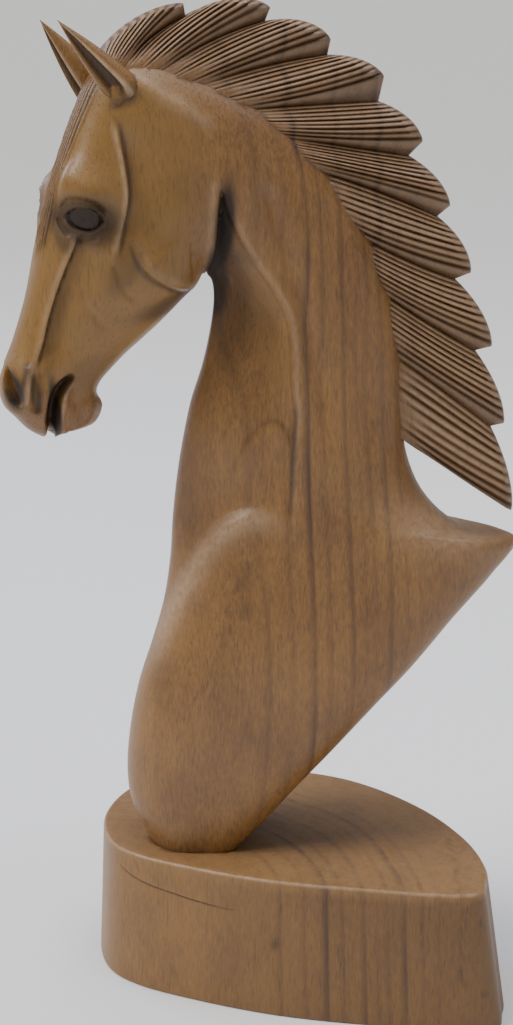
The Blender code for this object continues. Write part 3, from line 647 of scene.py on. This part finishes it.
def ear_surface(ear):
    """Rings about the ear's axis, of radius 1 - s^1.6 less a gouged hollow, and the marks of their points."""
    root, tip = np.array(ear[0]), np.array(ear[1])
    axis = tip - root
    length = np.linalg.norm(axis)
    axis /= length
    down = np.array([-axis[2], 0.0, axis[0]])
    down /= np.linalg.norm(down)
    across = np.cross(axis, down)
    share = np.linspace(0.0, 1.0, EAR_RINGS)[:, None]
    foot = np.sqrt(np.clip(1.0 - (1.0 - share / 0.16).clip(0.0, 1.0) ** 2, 0.0, 1.0))
    leaf = np.maximum((1.0 - share ** 1.6) * foot, 0.02)
    angle = np.linspace(0.0, 2.0 * np.pi, EAR_POINTS, endpoint=False)[None, :]
    gouge = EAR_HOLLOW_DEPTH * np.exp(-((1.0 - np.cos(angle - ear[2])) / EAR_HOLLOW_WIDTH) ** 2)
    gouge = gouge * smooth((share - 0.05) / 0.2) * smooth((1.0 - share) / 0.2)
    u = EAR_HALF_WIDTH * leaf * (np.cos(angle) - gouge * np.cos(ear[2]))
    v = EAR_HALF_THICK * leaf * (np.sin(angle) - gouge * np.sin(ear[2]))
    points = root + axis * (share * length)[..., None] + down * u[..., None] + across * v[..., None]
    plain = np.zeros_like(gouge)
    rim = np.exp(-((np.cos(angle - ear[2] - 0.55) - 1.0) / 0.03) ** 2)
    # Painted shade in the hollow and at the root, and a painted highlight on the rim beside the hollow
    return points, {
        "cut": 0.9 * smooth(2.2 * gouge), "worn": 0.8 * rim + plain,
        "stain": 0.5 * smooth((0.25 - share) / 0.2) + plain, "tint": plain + 0.6,
    }


# %% [markdown]
# The plinth is a slice of the log with a bulging far side and one blunt corner. Its wall leans outwards
# towards the underside, and its rims are worn round. A hairline drying crack runs along the near wall's left.

# %% The plinth's surface
# The top's outline as shares of length and depth, from the near corner round
OUTLINE = np.array([
    (0.945, -0.485), (1.000, -0.375), (1.005, -0.250), (0.970, -0.060), (0.880, 0.170), (0.740, 0.375),
    (0.590, 0.490), (0.390, 0.540), (0.190, 0.500), (0.060, 0.370), (0.000, 0.150), (0.020, -0.065),
    (0.100, -0.190), (0.260, -0.295), (0.440, -0.380), (0.640, -0.435),
])
OUTLINE_START_X = -16.4
OUTLINE_COLUMNS = 192
WALL_RINGS = 14
RIM_RINGS = 5
TOP_RINGS = (0.004, 0.012, 0.024, 0.040)
PLINTH_ROUNDS = 4


def plinth_rows():
    """Profile from underside to top: level, inset and flare share of each row."""
    turn = np.linspace(0.0, 0.5 * np.pi, RIM_RINGS)
    wall = np.linspace(0.0, 1.0, WALL_RINGS)[1:-1]
    level = np.concatenate([
        PLINTH_EDGE * (1.0 - np.cos(turn)),
        PLINTH_EDGE + wall * (PLINTH_HEIGHT - 2.0 * PLINTH_EDGE),
        PLINTH_HEIGHT - PLINTH_EDGE * (1.0 - np.sin(turn)),
        np.full(len(TOP_RINGS), PLINTH_HEIGHT),
    ])
    inset = np.concatenate([
        PLINTH_EDGE * (1.0 - np.sin(turn)), np.zeros(len(wall)), PLINTH_EDGE * (1.0 - np.cos(turn)),
        PLINTH_EDGE + np.array(TOP_RINGS),
    ])
    return np.stack([level, inset, 1.0 - level / PLINTH_HEIGHT], 1)


PLINTH_ROWS = plinth_rows()
FOOT_MIDDLE = np.array([0.5 * (SECTIONS[0, 0] + SECTIONS[0, 2]) * UNIT, 0.0])


def plinth_outline(around):
    """The top's outline as x, y in metres, at shares of the way round."""
    closed = np.vstack([OUTLINE[-1:], OUTLINE, OUTLINE[:2]])
    points = through(closed, 1.0 + len(OUTLINE) * np.asarray(around))
    x = OUTLINE_START_X * UNIT + points[:, 0] * PLINTH_LENGTH
    return np.stack([x, points[:, 1] * PLINTH_DEPTH], 1)


FLARE_SCALE = PLINTH_FLARE / np.hypot(*(plinth_outline(np.linspace(0.0, 1.0, 200)) - FOOT_MIDDLE).T).max()
PLINTH_MIDDLE = plinth_outline(np.linspace(0.0, 1.0, OUTLINE_COLUMNS, endpoint=False)).mean(0)
print("plinth rows", len(PLINTH_ROWS), "middle of its top", PLINTH_MIDDLE)

# The crack on the near wall: x in metres and level, from left to right
CRACK = [(-0.0860, 0.0790), (-0.0780, 0.0745), (-0.0650, 0.0715), (-0.0530, 0.0700), (-0.0380, 0.0680),
         (-0.0260, 0.0670), (-0.0140, 0.0668)]
CRACK_HALF = 0.0004
CRACK_DEPTH = 0.0008
CRACK_REACH = 0.01


def crack_share(points):
    """exp(-(d / half width)^2) across the crack, 1 in its middle and fading towards its ends."""
    x, y, z = points.T
    distance, share = line_distance(x, z, CRACK, CRACK_REACH)
    within = (share > 0.0) & (share < 1.0) & (y < -0.01)
    return np.exp(-(distance / CRACK_HALF) ** 2) * (0.35 + 0.65 * ends(share, 0.25)) * within


def plinth_points(row, around):
    """Outline + flare away from the foot + inset towards the middle, cut in by the crack; metres."""
    level, inset, flare = np.array([np.interp(row, np.arange(len(PLINTH_ROWS)), c) for c in PLINTH_ROWS.T])
    outline = plinth_outline(around)
    ring = outline + flare[:, None] * FLARE_SCALE * (outline - FOOT_MIDDLE)
    inward = PLINTH_MIDDLE - ring
    inward /= np.hypot(*inward.T)[:, None]
    flat = np.column_stack([ring + inset[:, None] * inward, level])
    flat[:, :2] += inward * (CRACK_DEPTH * crack_share(flat))[:, None]
    return flat


def wanted_plinth_edge(points):
    """The longest edge allowed: short along the crack, middling near the blunt end, any elsewhere."""
    x, y, z = points.T
    distance, _ = line_distance(x, z, CRACK, CRACK_REACH)
    wanted = np.where(y < -0.01, 0.0003 + 0.8 * np.maximum(np.abs(distance) - 0.0008, 0.0), 1.0)
    return np.where((x > 0.112) & (y < 0.0), np.minimum(wanted, 0.0025), wanted)


# %% [markdown]
# Painted shade darkens the cuts, the creases, the nostrils, the mouth, the throat and the undersides of the
# steps, and the eye is painted dark; the edges are lighter, partly from wear and partly as painted highlight.
# Each form carries four numbers per point for that: how much painted shade of a cut it has, how much wear and
# painted highlight, how much stain and painted shade, and whether its wood is yellower (+) or greyer (-).

# %% Painted shade in the cuts, wear with painted highlight, stain with painted shade
# Line, width, strength and how far beside the line the mark lies
# The cut lines are painted shade in the creases and below the steps
CUT_SHADE_LINES = (
    (CHEEK, 0.26, 0.7, -0.25), (TEMPLE, 0.22, 0.85, 0.25), (BRIDGE, 0.17, 0.9, 0.15), (MOUTH, 0.5, 1.0, 0.0),
    (RIDGE_CREASE, 0.25, 0.7, 0.0), (ARCH, 0.25, 0.3, -0.2), (FOLD, 0.3, 0.8, -0.45),
)
# Pale lines on the raised edges, partly wear and partly painted highlight, as the broad sheen on the shoulder
WORN_AND_SHEEN_LINES = (
    (TEMPLE, 0.28, 0.5, -0.35), (BRIDGE, 0.25, 0.3, -0.4), (RIDGE, 0.25, 0.3, 0.35), (SHOULDER, 1.0, 0.5, -0.7),
    (POLL_RIDGE, 0.6, 0.3, 0.0), (CHEEK, 0.4, 0.2, 0.6), (LIP, 0.3, 0.5, 0.0), (FOLD, 0.3, 0.5, 0.1),
    (JOWL, 0.4, 0.3, -0.6),
)
# Centre x and z, the two half sizes, tilt in degrees and strength of each dark patch. The first three darken
# the eye; the rest are painted shade in the nostrils, the mouth, the throat, the creases and the dents, under
# the jowl, the steps, the shoulder and the near ear, and over the cheek.
STAINS_AND_SHADES = (
    (-17.65, 81.05, 1.9, 1.25, -8.0, 1.0), (-17.5, 80.8, 2.9, 2.1, -8.0, 0.8),
    (-19.5, 79.8, 0.8, 1.7, 0.0, 0.6), (-24.7, 64.9, 0.8, 1.8, 12.0, 1.0),
    (-22.6, 64.6, 0.45, 1.8, 8.0, 0.7), (-20.7, 62.6, 0.5, 3.0, 6.0, 0.95),
    (-8.5, 72.6, 4.2, 0.9, 14.0, 0.6), (-3.6, 79.2, 1.0, 4.6, -4.0, 1.0), (-4.1, 74.4, 1.3, 3.6, 4.0, 0.9),
    (-3.0, 73.0, 2.2, 4.8, 8.0, 0.4), (-20.4, 70.5, 0.6, 4.0, -14.0, 0.25),
    (-13.3, 82.0, 0.5, 4.0, 0.0, 0.2), (-14.0, 76.6, 1.2, 2.6, -30.0, 0.35),
    (-13.6, 91.75, 1.2, 0.45, 25.0, 0.8), (-17.6, 66.0, 2.4, 1.4, 30.0, 0.25),
    (-9.5, 34.0, 1.2, 4.0, 10.0, 0.15), (-1.2, 44.4, 0.4, 3.4, 2.0, 0.35), (-0.7, 30.0, 0.3, 1.6, 2.0, 0.3),
    (3.6, 57.0, 0.35, 3.0, 0.0, 0.35), (-8.8, 79.5, 4.5, 5.0, 0.0, 0.16),
)
# Knots and the dark line before the blunt end, on the plinth's near wall, in metres
KNOTS = (
    (0.0110, 0.0500, 0.0011, 0.0050, 8.0, 0.8), (0.1235, 0.0400, 0.0009, 0.0600, 2.0, 0.6),
    (0.1340, 0.0700, 0.0022, 0.0030, 0.0, 0.7), (0.1390, 0.0260, 0.0020, 0.0026, 0.0, 0.8),
    (0.1310, 0.0480, 0.0010, 0.0160, 4.0, 0.4),
)
MARKS = ("cut", "worn", "stain", "tint")
SAME_PLACE = 2e-6
print(len(CUT_SHADE_LINES), "cuts,", len(WORN_AND_SHEEN_LINES), "worn lines,", len(STAINS_AND_SHADES), "stains,", len(KNOTS), "knots")


def line_marks(x, z, lines):
    """Strongest of several soft lines: exp(-((d - aside) / width)^2), fading at the ends."""
    found = np.zeros(len(x))
    for line, width, strength, aside in lines:
        distance, share = line_distance(x, z, line, 4.0)
        found = np.maximum(found, strength * np.exp(-((distance - aside) / width) ** 2) * ends(share, 0.15))
    return found


def body_shades(points):
    """Painted shade of the cuts, wear and painted highlight, stain and painted shade, and tint of the body's
    points, from the layout's x, y, z.
    """
    x, y, z = points.T
    side = smooth((np.abs(y) - 0.6) / 1.4)
    cut = line_marks(x, z, CUT_SHADE_LINES) * side
    # Painted shade between the ridges of the forelock
    band, ridges = forelock(y, z)
    cut = np.maximum(cut, 0.9 * band * smooth(1.6 * (1.0 - ridges)) * (x < -12.5))
    stain = np.zeros(len(x))
    for centre_x, centre_z, half_x, half_z, tilt, strength in STAINS_AND_SHADES:
        inside = mound(x, z, (centre_x, centre_z), half_x, half_z, tilt, 1.0)
        stain = np.maximum(stain, strength * smooth(1.8 * inside))
    yellow = smooth((-x - 4.0) / 6.0) * smooth((z - 62.0) / 6.0)
    yellow = np.maximum(yellow, mound(x, z, (0.9, 71.5), 1.8, 7.0, 14.0, 0.9))
    # Pale edges and a pale patch on the withers: wear and painted highlight
    worn = np.maximum(line_marks(x, z, WORN_AND_SHEEN_LINES) * side, mound(x, z, (19.0, 50.0), 6.0, 2.6, -12.0, 0.5))
    stain = stain * np.maximum(side, smooth((x + 6.5) / 1.0))
    return {"cut": cut, "worn": worn, "stain": stain, "tint": yellow}


def plinth_shades(points):
    """Painted shade in the crack, a pale top rim that is partly wear and partly painted highlight, the knots,
    and painted shade that darkens the near wall towards the blunt end.
    """
    x, y, z = points.T
    distance = np.abs(PLINTH_HEIGHT - PLINTH_EDGE * 0.4 - z)
    # Painted shade: the near wall darkens towards the blunt end, away from the light
    wall = 0.32 * smooth((x + 0.09) / 0.2) * smooth((PLINTH_HEIGHT - 0.002 - z) / 0.003)
    knots = np.zeros(len(x))
    for knot_x, knot_z, half_x, half_z, tilt, strength in KNOTS:
        knots = np.maximum(knots, mound(x, z, (knot_x, knot_z), half_x, half_z, tilt, strength) * (y < -0.01))
    return {
        "cut": crack_share(points), "worn": 0.45 * np.exp(-(distance / 0.0009) ** 2),
        "stain": np.maximum(knots, wall), "tint": np.full(len(x), 0.3),
    }


def mark(mesh, sources):
    """Gives each point the numbers of the nearest drawn point; new points on the seams stay unknown."""
    places = np.vstack([space for space, _ in sources])
    tree = KDTree(len(places))
    for index, place in enumerate(places.tolist()):
        tree.insert(place, index)
    tree.balance()
    found = [tree.find(vert.co)[1:] for vert in mesh.vertices]
    nearest = np.array([index for index, _ in found])
    known = np.array([distance < SAME_PLACE for _, distance in found], np.float32)
    marks = {name: np.concatenate([np.ravel(shades[name]) for _, shades in sources])[nearest] for name in MARKS}
    for name, values in {**marks, "known": known}.items():
        attribute = mesh.attributes.new(name, "FLOAT", "POINT")
        attribute.data.foreach_set("value", np.ascontiguousarray(values, np.float32))


# %% [markdown]
# The real thing is one piece of wood, so the forms are joined into one closed body. Booleans with the exact
# solver keep the crisp lines where the mane and the ears leave the head.

# %% Lofts and joining
SHARP_ANGLE = np.radians(50.0)


def loft(name, rings, shift):
    """A closed mesh over rings of points, with a strip of faces across each end."""
    count, around = rings.shape[:2]
    row = np.arange(count - 1)[:, None] * around
    column = np.arange(around)[None, :]
    following = (column + 1) % around
    quads = np.stack([row + column, row + following, row + around + following, row + around + column], 2)
    strip = np.arange(around // 2 - 1)
    cap = np.stack([strip, strip + 1, around - 2 - strip, around - 1 - strip], 1)
    faces = np.concatenate([quads.reshape(-1, 4), cap[:, ::-1], cap + (count - 1) * around]).tolist()
    mesh = bpy.data.meshes.new(name)
    mesh.from_pydata((rings.reshape(-1, 3) + shift).tolist(), [], faces)
    bm = bmesh.new()
    bm.from_mesh(mesh)
    bmesh.ops.recalc_face_normals(bm, faces=bm.faces)
    bm.to_mesh(mesh)
    bm.free()
    return add_object(name, mesh)


def join_all(body, others):
    """Body + others as one closed mesh; the others are removed."""
    for other in others:
        union = body.modifiers.new("join", "BOOLEAN")
        union.operation = "UNION"
        union.solver = "EXACT"
        union.object = other
    evaluated = body.evaluated_get(bpy.context.evaluated_depsgraph_get())
    joined = bpy.data.meshes.new_from_object(evaluated)
    body.modifiers.clear()
    body.data = joined
    for other in others:
        bpy.data.objects.remove(other, do_unlink=True)


# %% [markdown]
# The points of all forms are worked out before any mesh is made, because the middle of their common outline
# decides where they stand in the frame. The camera is moved by the same shift.

# %% The forms in space
far_angles = np.linspace(-np.pi, 0.0, FAR_COLUMNS, endpoint=False)
near_angles = np.linspace(0.0, np.pi, NEAR_COLUMNS + 1)
body_grid = divided_grid(
    ring_places(), np.concatenate([far_angles, near_angles]), body_points, wanted_edge, BODY_ROUNDS,
)
body_places = np.array([vert.co[:2] for vert in body_grid.verts])
body_layout = body_points(body_places[:, 0], body_places[:, 1])
mane_rings, mane_shades = mane_surface()
mane_rings = to_metres(mane_rings)
plinth_grid = divided_grid(
    np.arange(len(PLINTH_ROWS), dtype=float), np.linspace(0.0, 1.0, OUTLINE_COLUMNS + 1),
    plinth_points, wanted_plinth_edge, PLINTH_ROUNDS,
)
plinth_places = np.array([vert.co[:2] for vert in plinth_grid.verts])
plinth_space = plinth_points(plinth_places[:, 0], plinth_places[:, 1])
body_space = to_metres(body_layout)
everything = np.vstack([body_space[:, :2], mane_rings.reshape(-1, 3)[:, :2], plinth_space[:, :2]])
SHIFT = np.append(-0.5 * (everything.min(0) + everything.max(0)), 0.0)
add_camera(SHIFT)
print("body points", len(body_space), "plinth points", len(plinth_space), "shift", SHIFT)

# %% [markdown]
# The marks are written after the joining, from the nearest drawn point, because a Boolean doesn't keep the
# numbers of the forms it adds. Edges sharper than a gouge leaves stay crisp, and the rest is shaded smooth.

# %% One closed, marked body
carving = close_grid("carved_horse_head", body_grid, body_space + SHIFT)
plinth = close_grid("plinth", plinth_grid, plinth_space + SHIFT)
others = [loft("mane", mane_rings, SHIFT), plinth]
sources = [
    (body_space + SHIFT, body_shades(body_layout)),
    (plinth_space + SHIFT, plinth_shades(plinth_space)),
    (mane_rings.reshape(-1, 3) + SHIFT, mane_shades),
]
for name, ear in (("near_ear", NEAR_EAR), ("far_ear", FAR_EAR)):
    rings, ear_shades = ear_surface(ear)
    rings = to_metres(rings)
    others.append(loft(name, rings, SHIFT))
    sources.append((rings.reshape(-1, 3) + SHIFT, ear_shades))
join_all(carving, others)
mark(carving.data, sources)
carving.data.shade_smooth()
carving.data.set_sharp_from_angle(angle=SHARP_ANGLE)
print("joined", len(carving.data.vertices), "points", len(carving.data.polygons), "faces")

# %% [markdown]
# The wood is a warm brown hardwood under a satin varnish. Its colours are chosen beside the photo, as the wood
# reflects them without its shine: dark and light fibres, late-wood lines, stains and wear, with painted shade
# in the cuts and recesses and painted highlight on the edges.

# %% Colours
def srgb(code):
    """Hex sRGB to linear RGBA: c / 12.92 below 0.04045, ((c + 0.055) / 1.055)^2.4 above."""
    parts = np.array([int(code[i:i + 2], 16) for i in (1, 3, 5)]) / 255.0
    linear = np.where(parts <= 0.04045, parts / 12.92, ((parts + 0.055) / 1.055) ** 2.4)
    return (*linear.tolist(), 1.0)


WOOD_DARK = srgb("#482810")
WOOD_LIGHT = srgb("#9C7038")
LINE_DARK = srgb("#34190C")
PORE_DARK = srgb("#38200F")
# Painted shade in the cuts and creases; stain and painted shade in the eye, the recesses and under the steps;
# pale wear and painted highlight on the edges
CUT_SHADE_DARK = srgb("#220F07")
STAIN_AND_SHADE_DARK = srgb("#160904")
WORN_AND_SHEEN_LIGHT = srgb("#CDAE8E")
FACE_YELLOW = srgb("#8A6528")
MANE_GREY = srgb("#826448")
print("light wood, linear", np.round(WOOD_LIGHT, 3))

# %% [markdown]
# A finish is a graph of small nodes. One function adds any of them with its settings and links.

# %% Nodes
def add_node(tree, kind, settings=None, output=None, **links):
    """Adds a node with its properties and inputs, and gives its named output or its first one in use."""
    node = tree.nodes.new(kind)
    for name, value in (settings or {}).items():
        setattr(node, name, value)
    for name, value in links.items():
        socket = node.inputs[int(name[1:])] if name[0] == "i" and name[1:].isdigit() else node.inputs[name]
        if isinstance(value, bpy.types.NodeSocket):
            tree.links.new(value, socket)
        else:
            socket.default_value = value
    return node.outputs[output] if output else next(socket for socket in node.outputs if socket.enabled)


MATH, VECTOR, NOISE = "ShaderNodeMath", "ShaderNodeVectorMath", "ShaderNodeTexNoise"
RANGE, MIX, ATTRIBUTE = "ShaderNodeMapRange", "ShaderNodeMix", "ShaderNodeAttribute"
ADD, SUBTRACT, MULTIPLY = {"operation": "ADD"}, {"operation": "SUBTRACT"}, {"operation": "MULTIPLY"}
DIVIDE, LARGER = {"operation": "DIVIDE"}, {"operation": "MAXIMUM"}
CLAMPED = {"operation": "MULTIPLY", "use_clamp": True}
COLOURS = {"data_type": "RGBA"}

# %% [markdown]
# The growth rings are upright cylinders about a pith outside the near left of the plinth, so one formula gives
# the arcs on the plinth's top and the upright lines on its wall and on the bust. Fibres and pores run upright
# too, because the log stood as the sculpture does. The marks of each point then lighten or darken the wood.

# %% The varnished wood
PITH = (-0.0889 + SHIFT[0], -0.0931 + SHIFT[1], 0.0)
# Radius in metres, strength and half width in millimetres of each dark late-wood line. Each takes three of
# the 32 stops that a colour ramp can hold, so there are ten.
RING_LINES = (
    (0.108, 0.45, 1.6), (0.122, 0.30, 1.2), (0.134, 1.00, 1.5), (0.143, 0.45, 1.2), (0.156, 0.60, 1.4),
    (0.164, 0.25, 1.0), (0.170, 0.40, 1.4), (0.1795, 0.80, 1.6), (0.190, 0.40, 1.2), (0.2000, 0.25, 1.4),
)
RING_REACH = 0.260
# Stretch along the trunk, scale per metre, detail and roughness. Fibres are 1.3 mm wide and 7 mm long and pores
# 1.1 mm wide and 11 mm long, both coarser than real ones so that they show. Bands are 12 mm wide, clouds 4 cm,
# the lines are broken every 14 cm and the wear and painted highlight are uneven over 4 mm.
PATTERNS = {
    "fibre": (0.18, 760.0, 4.0, 0.7), "pore": (0.10, 900.0, 2.0, 0.5), "band": (0.07, 85.0, 2.0, 0.5),
    "cloud": (0.6, 26.0, 4.0, 0.6), "broken": (0.12, 60.0, 3.0, 0.5), "uneven": (1.0, 240.0, 2.0, 0.5),
}
WANDER = (0.016, 0.016, 0.0)
HOLLOWS_SCALE = 75.0
BUMP_HEIGHT = 0.0006
BLACK = (0.0, 0.0, 0.0, 1.0)


def late_wood(add, radius):
    """Strength of the dark lines by radius: each rises slowly outwards and ends sharply, as late wood does."""
    share = add(MATH, DIVIDE, i0=radius, i1=RING_REACH)
    found = add("ShaderNodeValToRGB", i0=share)
    ramp = found.node.color_ramp
    ramp.elements[0].color = ramp.elements[1].color = BLACK
    for line_radius, strength, half in RING_LINES:
        for offset, level in ((-2.6 * half, 0.0), (0.0, strength), (0.9 * half, 0.0)):
            stop = ramp.elements.new((line_radius + 0.001 * offset) / RING_REACH)
            stop.color = (level, level, level, 1.0)
    return found


def varnished_wood():
    """Carved hardwood, sanded and varnished, with painted shade in the cuts: upright fibres, dark lines, satin
    coat.
    """
    wood = bpy.data.materials.new("varnished_hardwood")
    wood.use_nodes = True
    tree = wood.node_tree
    shader = tree.nodes["Principled BSDF"]
    add = partial(add_node, tree)
    place = add("ShaderNodeTexCoord", output="Object")

    # The rings and fibres wander by a few millimetres over a hand's breadth
    slow = add(VECTOR, MULTIPLY, i0=place, i1=(9.0, 9.0, 3.0))
    drift = add(NOISE, output="Color", Vector=slow, Scale=1.0, Detail=2.0)
    drift = add(VECTOR, SUBTRACT, i0=drift, i1=(0.5, 0.5, 0.5))
    moved = add(VECTOR, ADD, i0=place, i1=add(VECTOR, MULTIPLY, i0=drift, i1=WANDER))
    pattern = {}
    for name, (stretch, scale, detail, roughness) in PATTERNS.items():
        along = add(VECTOR, MULTIPLY, i0=moved, i1=(1.0, 1.0, stretch))
        pattern[name] = add(NOISE, Vector=along, Scale=scale, Detail=detail, Roughness=roughness)
    given = {name: add(ATTRIBUTE, {"attribute_name": name}, "Fac") for name in (*MARKS, "known")}

    # Lines, pores, wear with painted highlight, and painted shade in the cuts and at the seams
    flat = add(VECTOR, SUBTRACT, i0=moved, i1=PITH)
    flat = add(VECTOR, MULTIPLY, i0=flat, i1=(1.0, 1.0, 0.0))
    radius = add(VECTOR, {"operation": "LENGTH"}, "Value", i0=flat)
    broken = add(RANGE, i0=pattern["broken"], i1=0.36, i2=0.60, i3=0.35, i4=1.0)
    lines = add(MATH, MULTIPLY, i0=late_wood(add, radius), i1=broken)
    pores = add(RANGE, i0=pattern["pore"], i1=0.58, i2=0.68, i3=0.0, i4=1.0)
    uneven = add(RANGE, i0=pattern["uneven"], i1=0.3, i2=0.6, i3=0.55, i4=1.0)
    worn = add(MATH, MULTIPLY, i0=given["worn"], i1=uneven)
    # Painted shade in the creases where the mane, the ears and the foot meet, at the points that the joining
    # made, and in the cuts
    seam_shade = add(MATH, CLAMPED, i0=add(MATH, SUBTRACT, i0=1.0, i1=given["known"]), i1=0.4)
    cut = add(MATH, CLAMPED, i0=given["cut"], i1=0.88)

    # Tone of the plain wood, and the layers of colour upon it
    fibres = add(MATH, MULTIPLY, i0=pattern["fibre"], i1=1.10)
    bands = add(MATH, MULTIPLY, i0=pattern["band"], i1=0.22)
    clouds = add(MATH, MULTIPLY, i0=pattern["cloud"], i1=0.7)
    tone = add(MATH, ADD, i0=add(MATH, ADD, i0=fibres, i1=bands), i1=clouds)
    tone = add(RANGE, i0=tone, i1=0.48, i2=1.50, i3=0.0, i4=1.0)
    body = add(MIX, COLOURS, i0=tone, i6=WOOD_DARK, i7=WOOD_LIGHT)
    # Tints, pores and late-wood lines, then pale wear with painted highlight, stain with painted shade, and
    # painted shade in the cuts and at the seams
    for share, colour in (
        (add(MATH, CLAMPED, i0=given["tint"], i1=0.55), FACE_YELLOW),
        (add(MATH, CLAMPED, i0=given["tint"], i1=-0.6), MANE_GREY),
        (add(MATH, MULTIPLY, i0=pores, i1=0.26), PORE_DARK),
        (add(MATH, MULTIPLY, i0=lines, i1=0.9), LINE_DARK),
        (add(MATH, CLAMPED, i0=worn, i1=0.8), WORN_AND_SHEEN_LIGHT),
        (add(MATH, CLAMPED, i0=given["stain"], i1=0.95), STAIN_AND_SHADE_DARK),
        (add(MATH, LARGER, i0=cut, i1=seam_shade), CUT_SHADE_DARK),
    ):
        body = add(MIX, COLOURS, i0=share, i6=body, i7=colour)
    tree.links.new(body, shader.inputs["Base Color"])

    # Raised fibres, sunk pores and shallow tool marks; where stain and painted shade lie the wood is rougher
    # and the coat thinner, and the coat is thinner in the cuts too
    fibres = add(MATH, MULTIPLY, i0=pattern["fibre"], i1=0.6)
    height = add(MATH, SUBTRACT, i0=fibres, i1=add(MATH, MULTIPLY, i0=pores, i1=0.5))
    hollows = add(NOISE, Vector=place, Scale=HOLLOWS_SCALE, Detail=2.0, Roughness=0.5)
    hollows = add(MATH, MULTIPLY, i0=hollows, i1=0.9)
    height = add(MATH, ADD, i0=height, i1=hollows)
    bump = add("ShaderNodeBump", Height=height, Strength=0.5, Distance=BUMP_HEIGHT)
    tree.links.new(bump, shader.inputs["Normal"])
    rough = add(RANGE, i0=pattern["fibre"], i1=0.3, i2=0.7, i3=0.38, i4=0.56)
    stain_and_shade_rough = add(MATH, MULTIPLY, i0=given["stain"], i1=0.2)
    tree.links.new(add(MATH, ADD, i0=rough, i1=stain_and_shade_rough), shader.inputs["Roughness"])
    bare = add(MATH, LARGER, i0=given["stain"], i1=given["cut"])
    coated = add(MATH, {"operation": "SUBTRACT", "use_clamp": True}, i0=1.0, i1=bare)
    coat = add(MATH, MULTIPLY, i0=coated, i1=0.2)
    tree.links.new(coat, shader.inputs["Coat Weight"])
    shader.inputs["IOR"].default_value = 1.5
    shader.inputs["Coat Roughness"].default_value = 0.32
    return wood


carving.data.materials.clear()
carving.data.materials.append(varnished_wood())
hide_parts(NODE)
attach(carving, "root")
print("wood nodes", len(carving.data.materials[0].node_tree.nodes))

# %% [markdown]
# The floor is a plain pale studio sheet that runs far behind the object. It is matt, so it shows only the
# soft shadow at the plinth's foot.

# %% Floor
FLOOR_HALF = 30.0


def add_floor():
    """A pale matt floor under the object."""
    corners = [(FLOOR_HALF * x, FLOOR_HALF * y, 0.0) for x, y in ((-1, -1), (1, -1), (1, 1), (-1, 1))]
    mesh = bpy.data.meshes.new("floor")
    mesh.from_pydata(corners, [], [(0, 1, 2, 3)])
    floor = add_object("floor", mesh)
    paint = bpy.data.materials.new("pale_floor")
    paint.use_nodes = True
    shader = paint.node_tree.nodes["Principled BSDF"]
    shader.inputs["Base Color"].default_value = srgb("#F4F3F1")
    shader.inputs["Roughness"].default_value = 0.8
    mesh.materials.append(paint)


add_floor()
print("floor half width in metres", FLOOR_HALF)

# %% [markdown]
# A broad soft sun comes from the upper left. A cool window behind on the left gives the sheen on the nose,
# the shoulder and the plinth's left end. A lamp above and a weak warm fill keep the cuts from going black.

# %% Lights
LIGHT_TARGET = (0.0, 0.0, 0.3)
# Name, place, size in metres, power in watts and colour of the square lights
AREA_LIGHTS = (
    ("ceiling", (0.3, 0.1, 2.1), 1.4, 26.0, "#EEF2FF"),
    ("window", (-1.6, 1.5, 1.2), 0.8, 12.0, "#CCDAFF"),
    ("fill", (1.6, -1.6, 1.0), 1.6, 4.0, "#FFF6EC"),
)
KEY_STRENGTH = 2.5
KEY_ANGLE = np.radians(30.0)
KEY_FROM = (-1.3, -0.4, 1.6)
WORLD_STRENGTH = 0.3


def add_light(kind, name, place, target):
    """A light of the kind that faces its target; returns its data."""
    data = bpy.data.lights.new(name, kind)
    light = add_object(name, data)
    light.location = place
    light.rotation_euler = (Vector(target) - Vector(place)).to_track_quat("-Z", "Y").to_euler()
    return data


for name, place, size, power, colour in AREA_LIGHTS:
    lamp = add_light("AREA", name, place, LIGHT_TARGET)
    lamp.size, lamp.energy, lamp.color = size, power, srgb(colour)[:3]
key = add_light("SUN", "key", KEY_FROM, (0.0, 0.0, 0.0))
key.energy, key.angle = KEY_STRENGTH, KEY_ANGLE
world = bpy.data.worlds.new("studio")
bpy.context.scene.world = world
world.use_nodes = True
world.node_tree.nodes["Background"].inputs["Color"].default_value = (1.0, 1.0, 1.0, 1.0)
world.node_tree.nodes["Background"].inputs["Strength"].default_value = WORLD_STRENGTH
print(len(AREA_LIGHTS), "square lights and a soft sun")
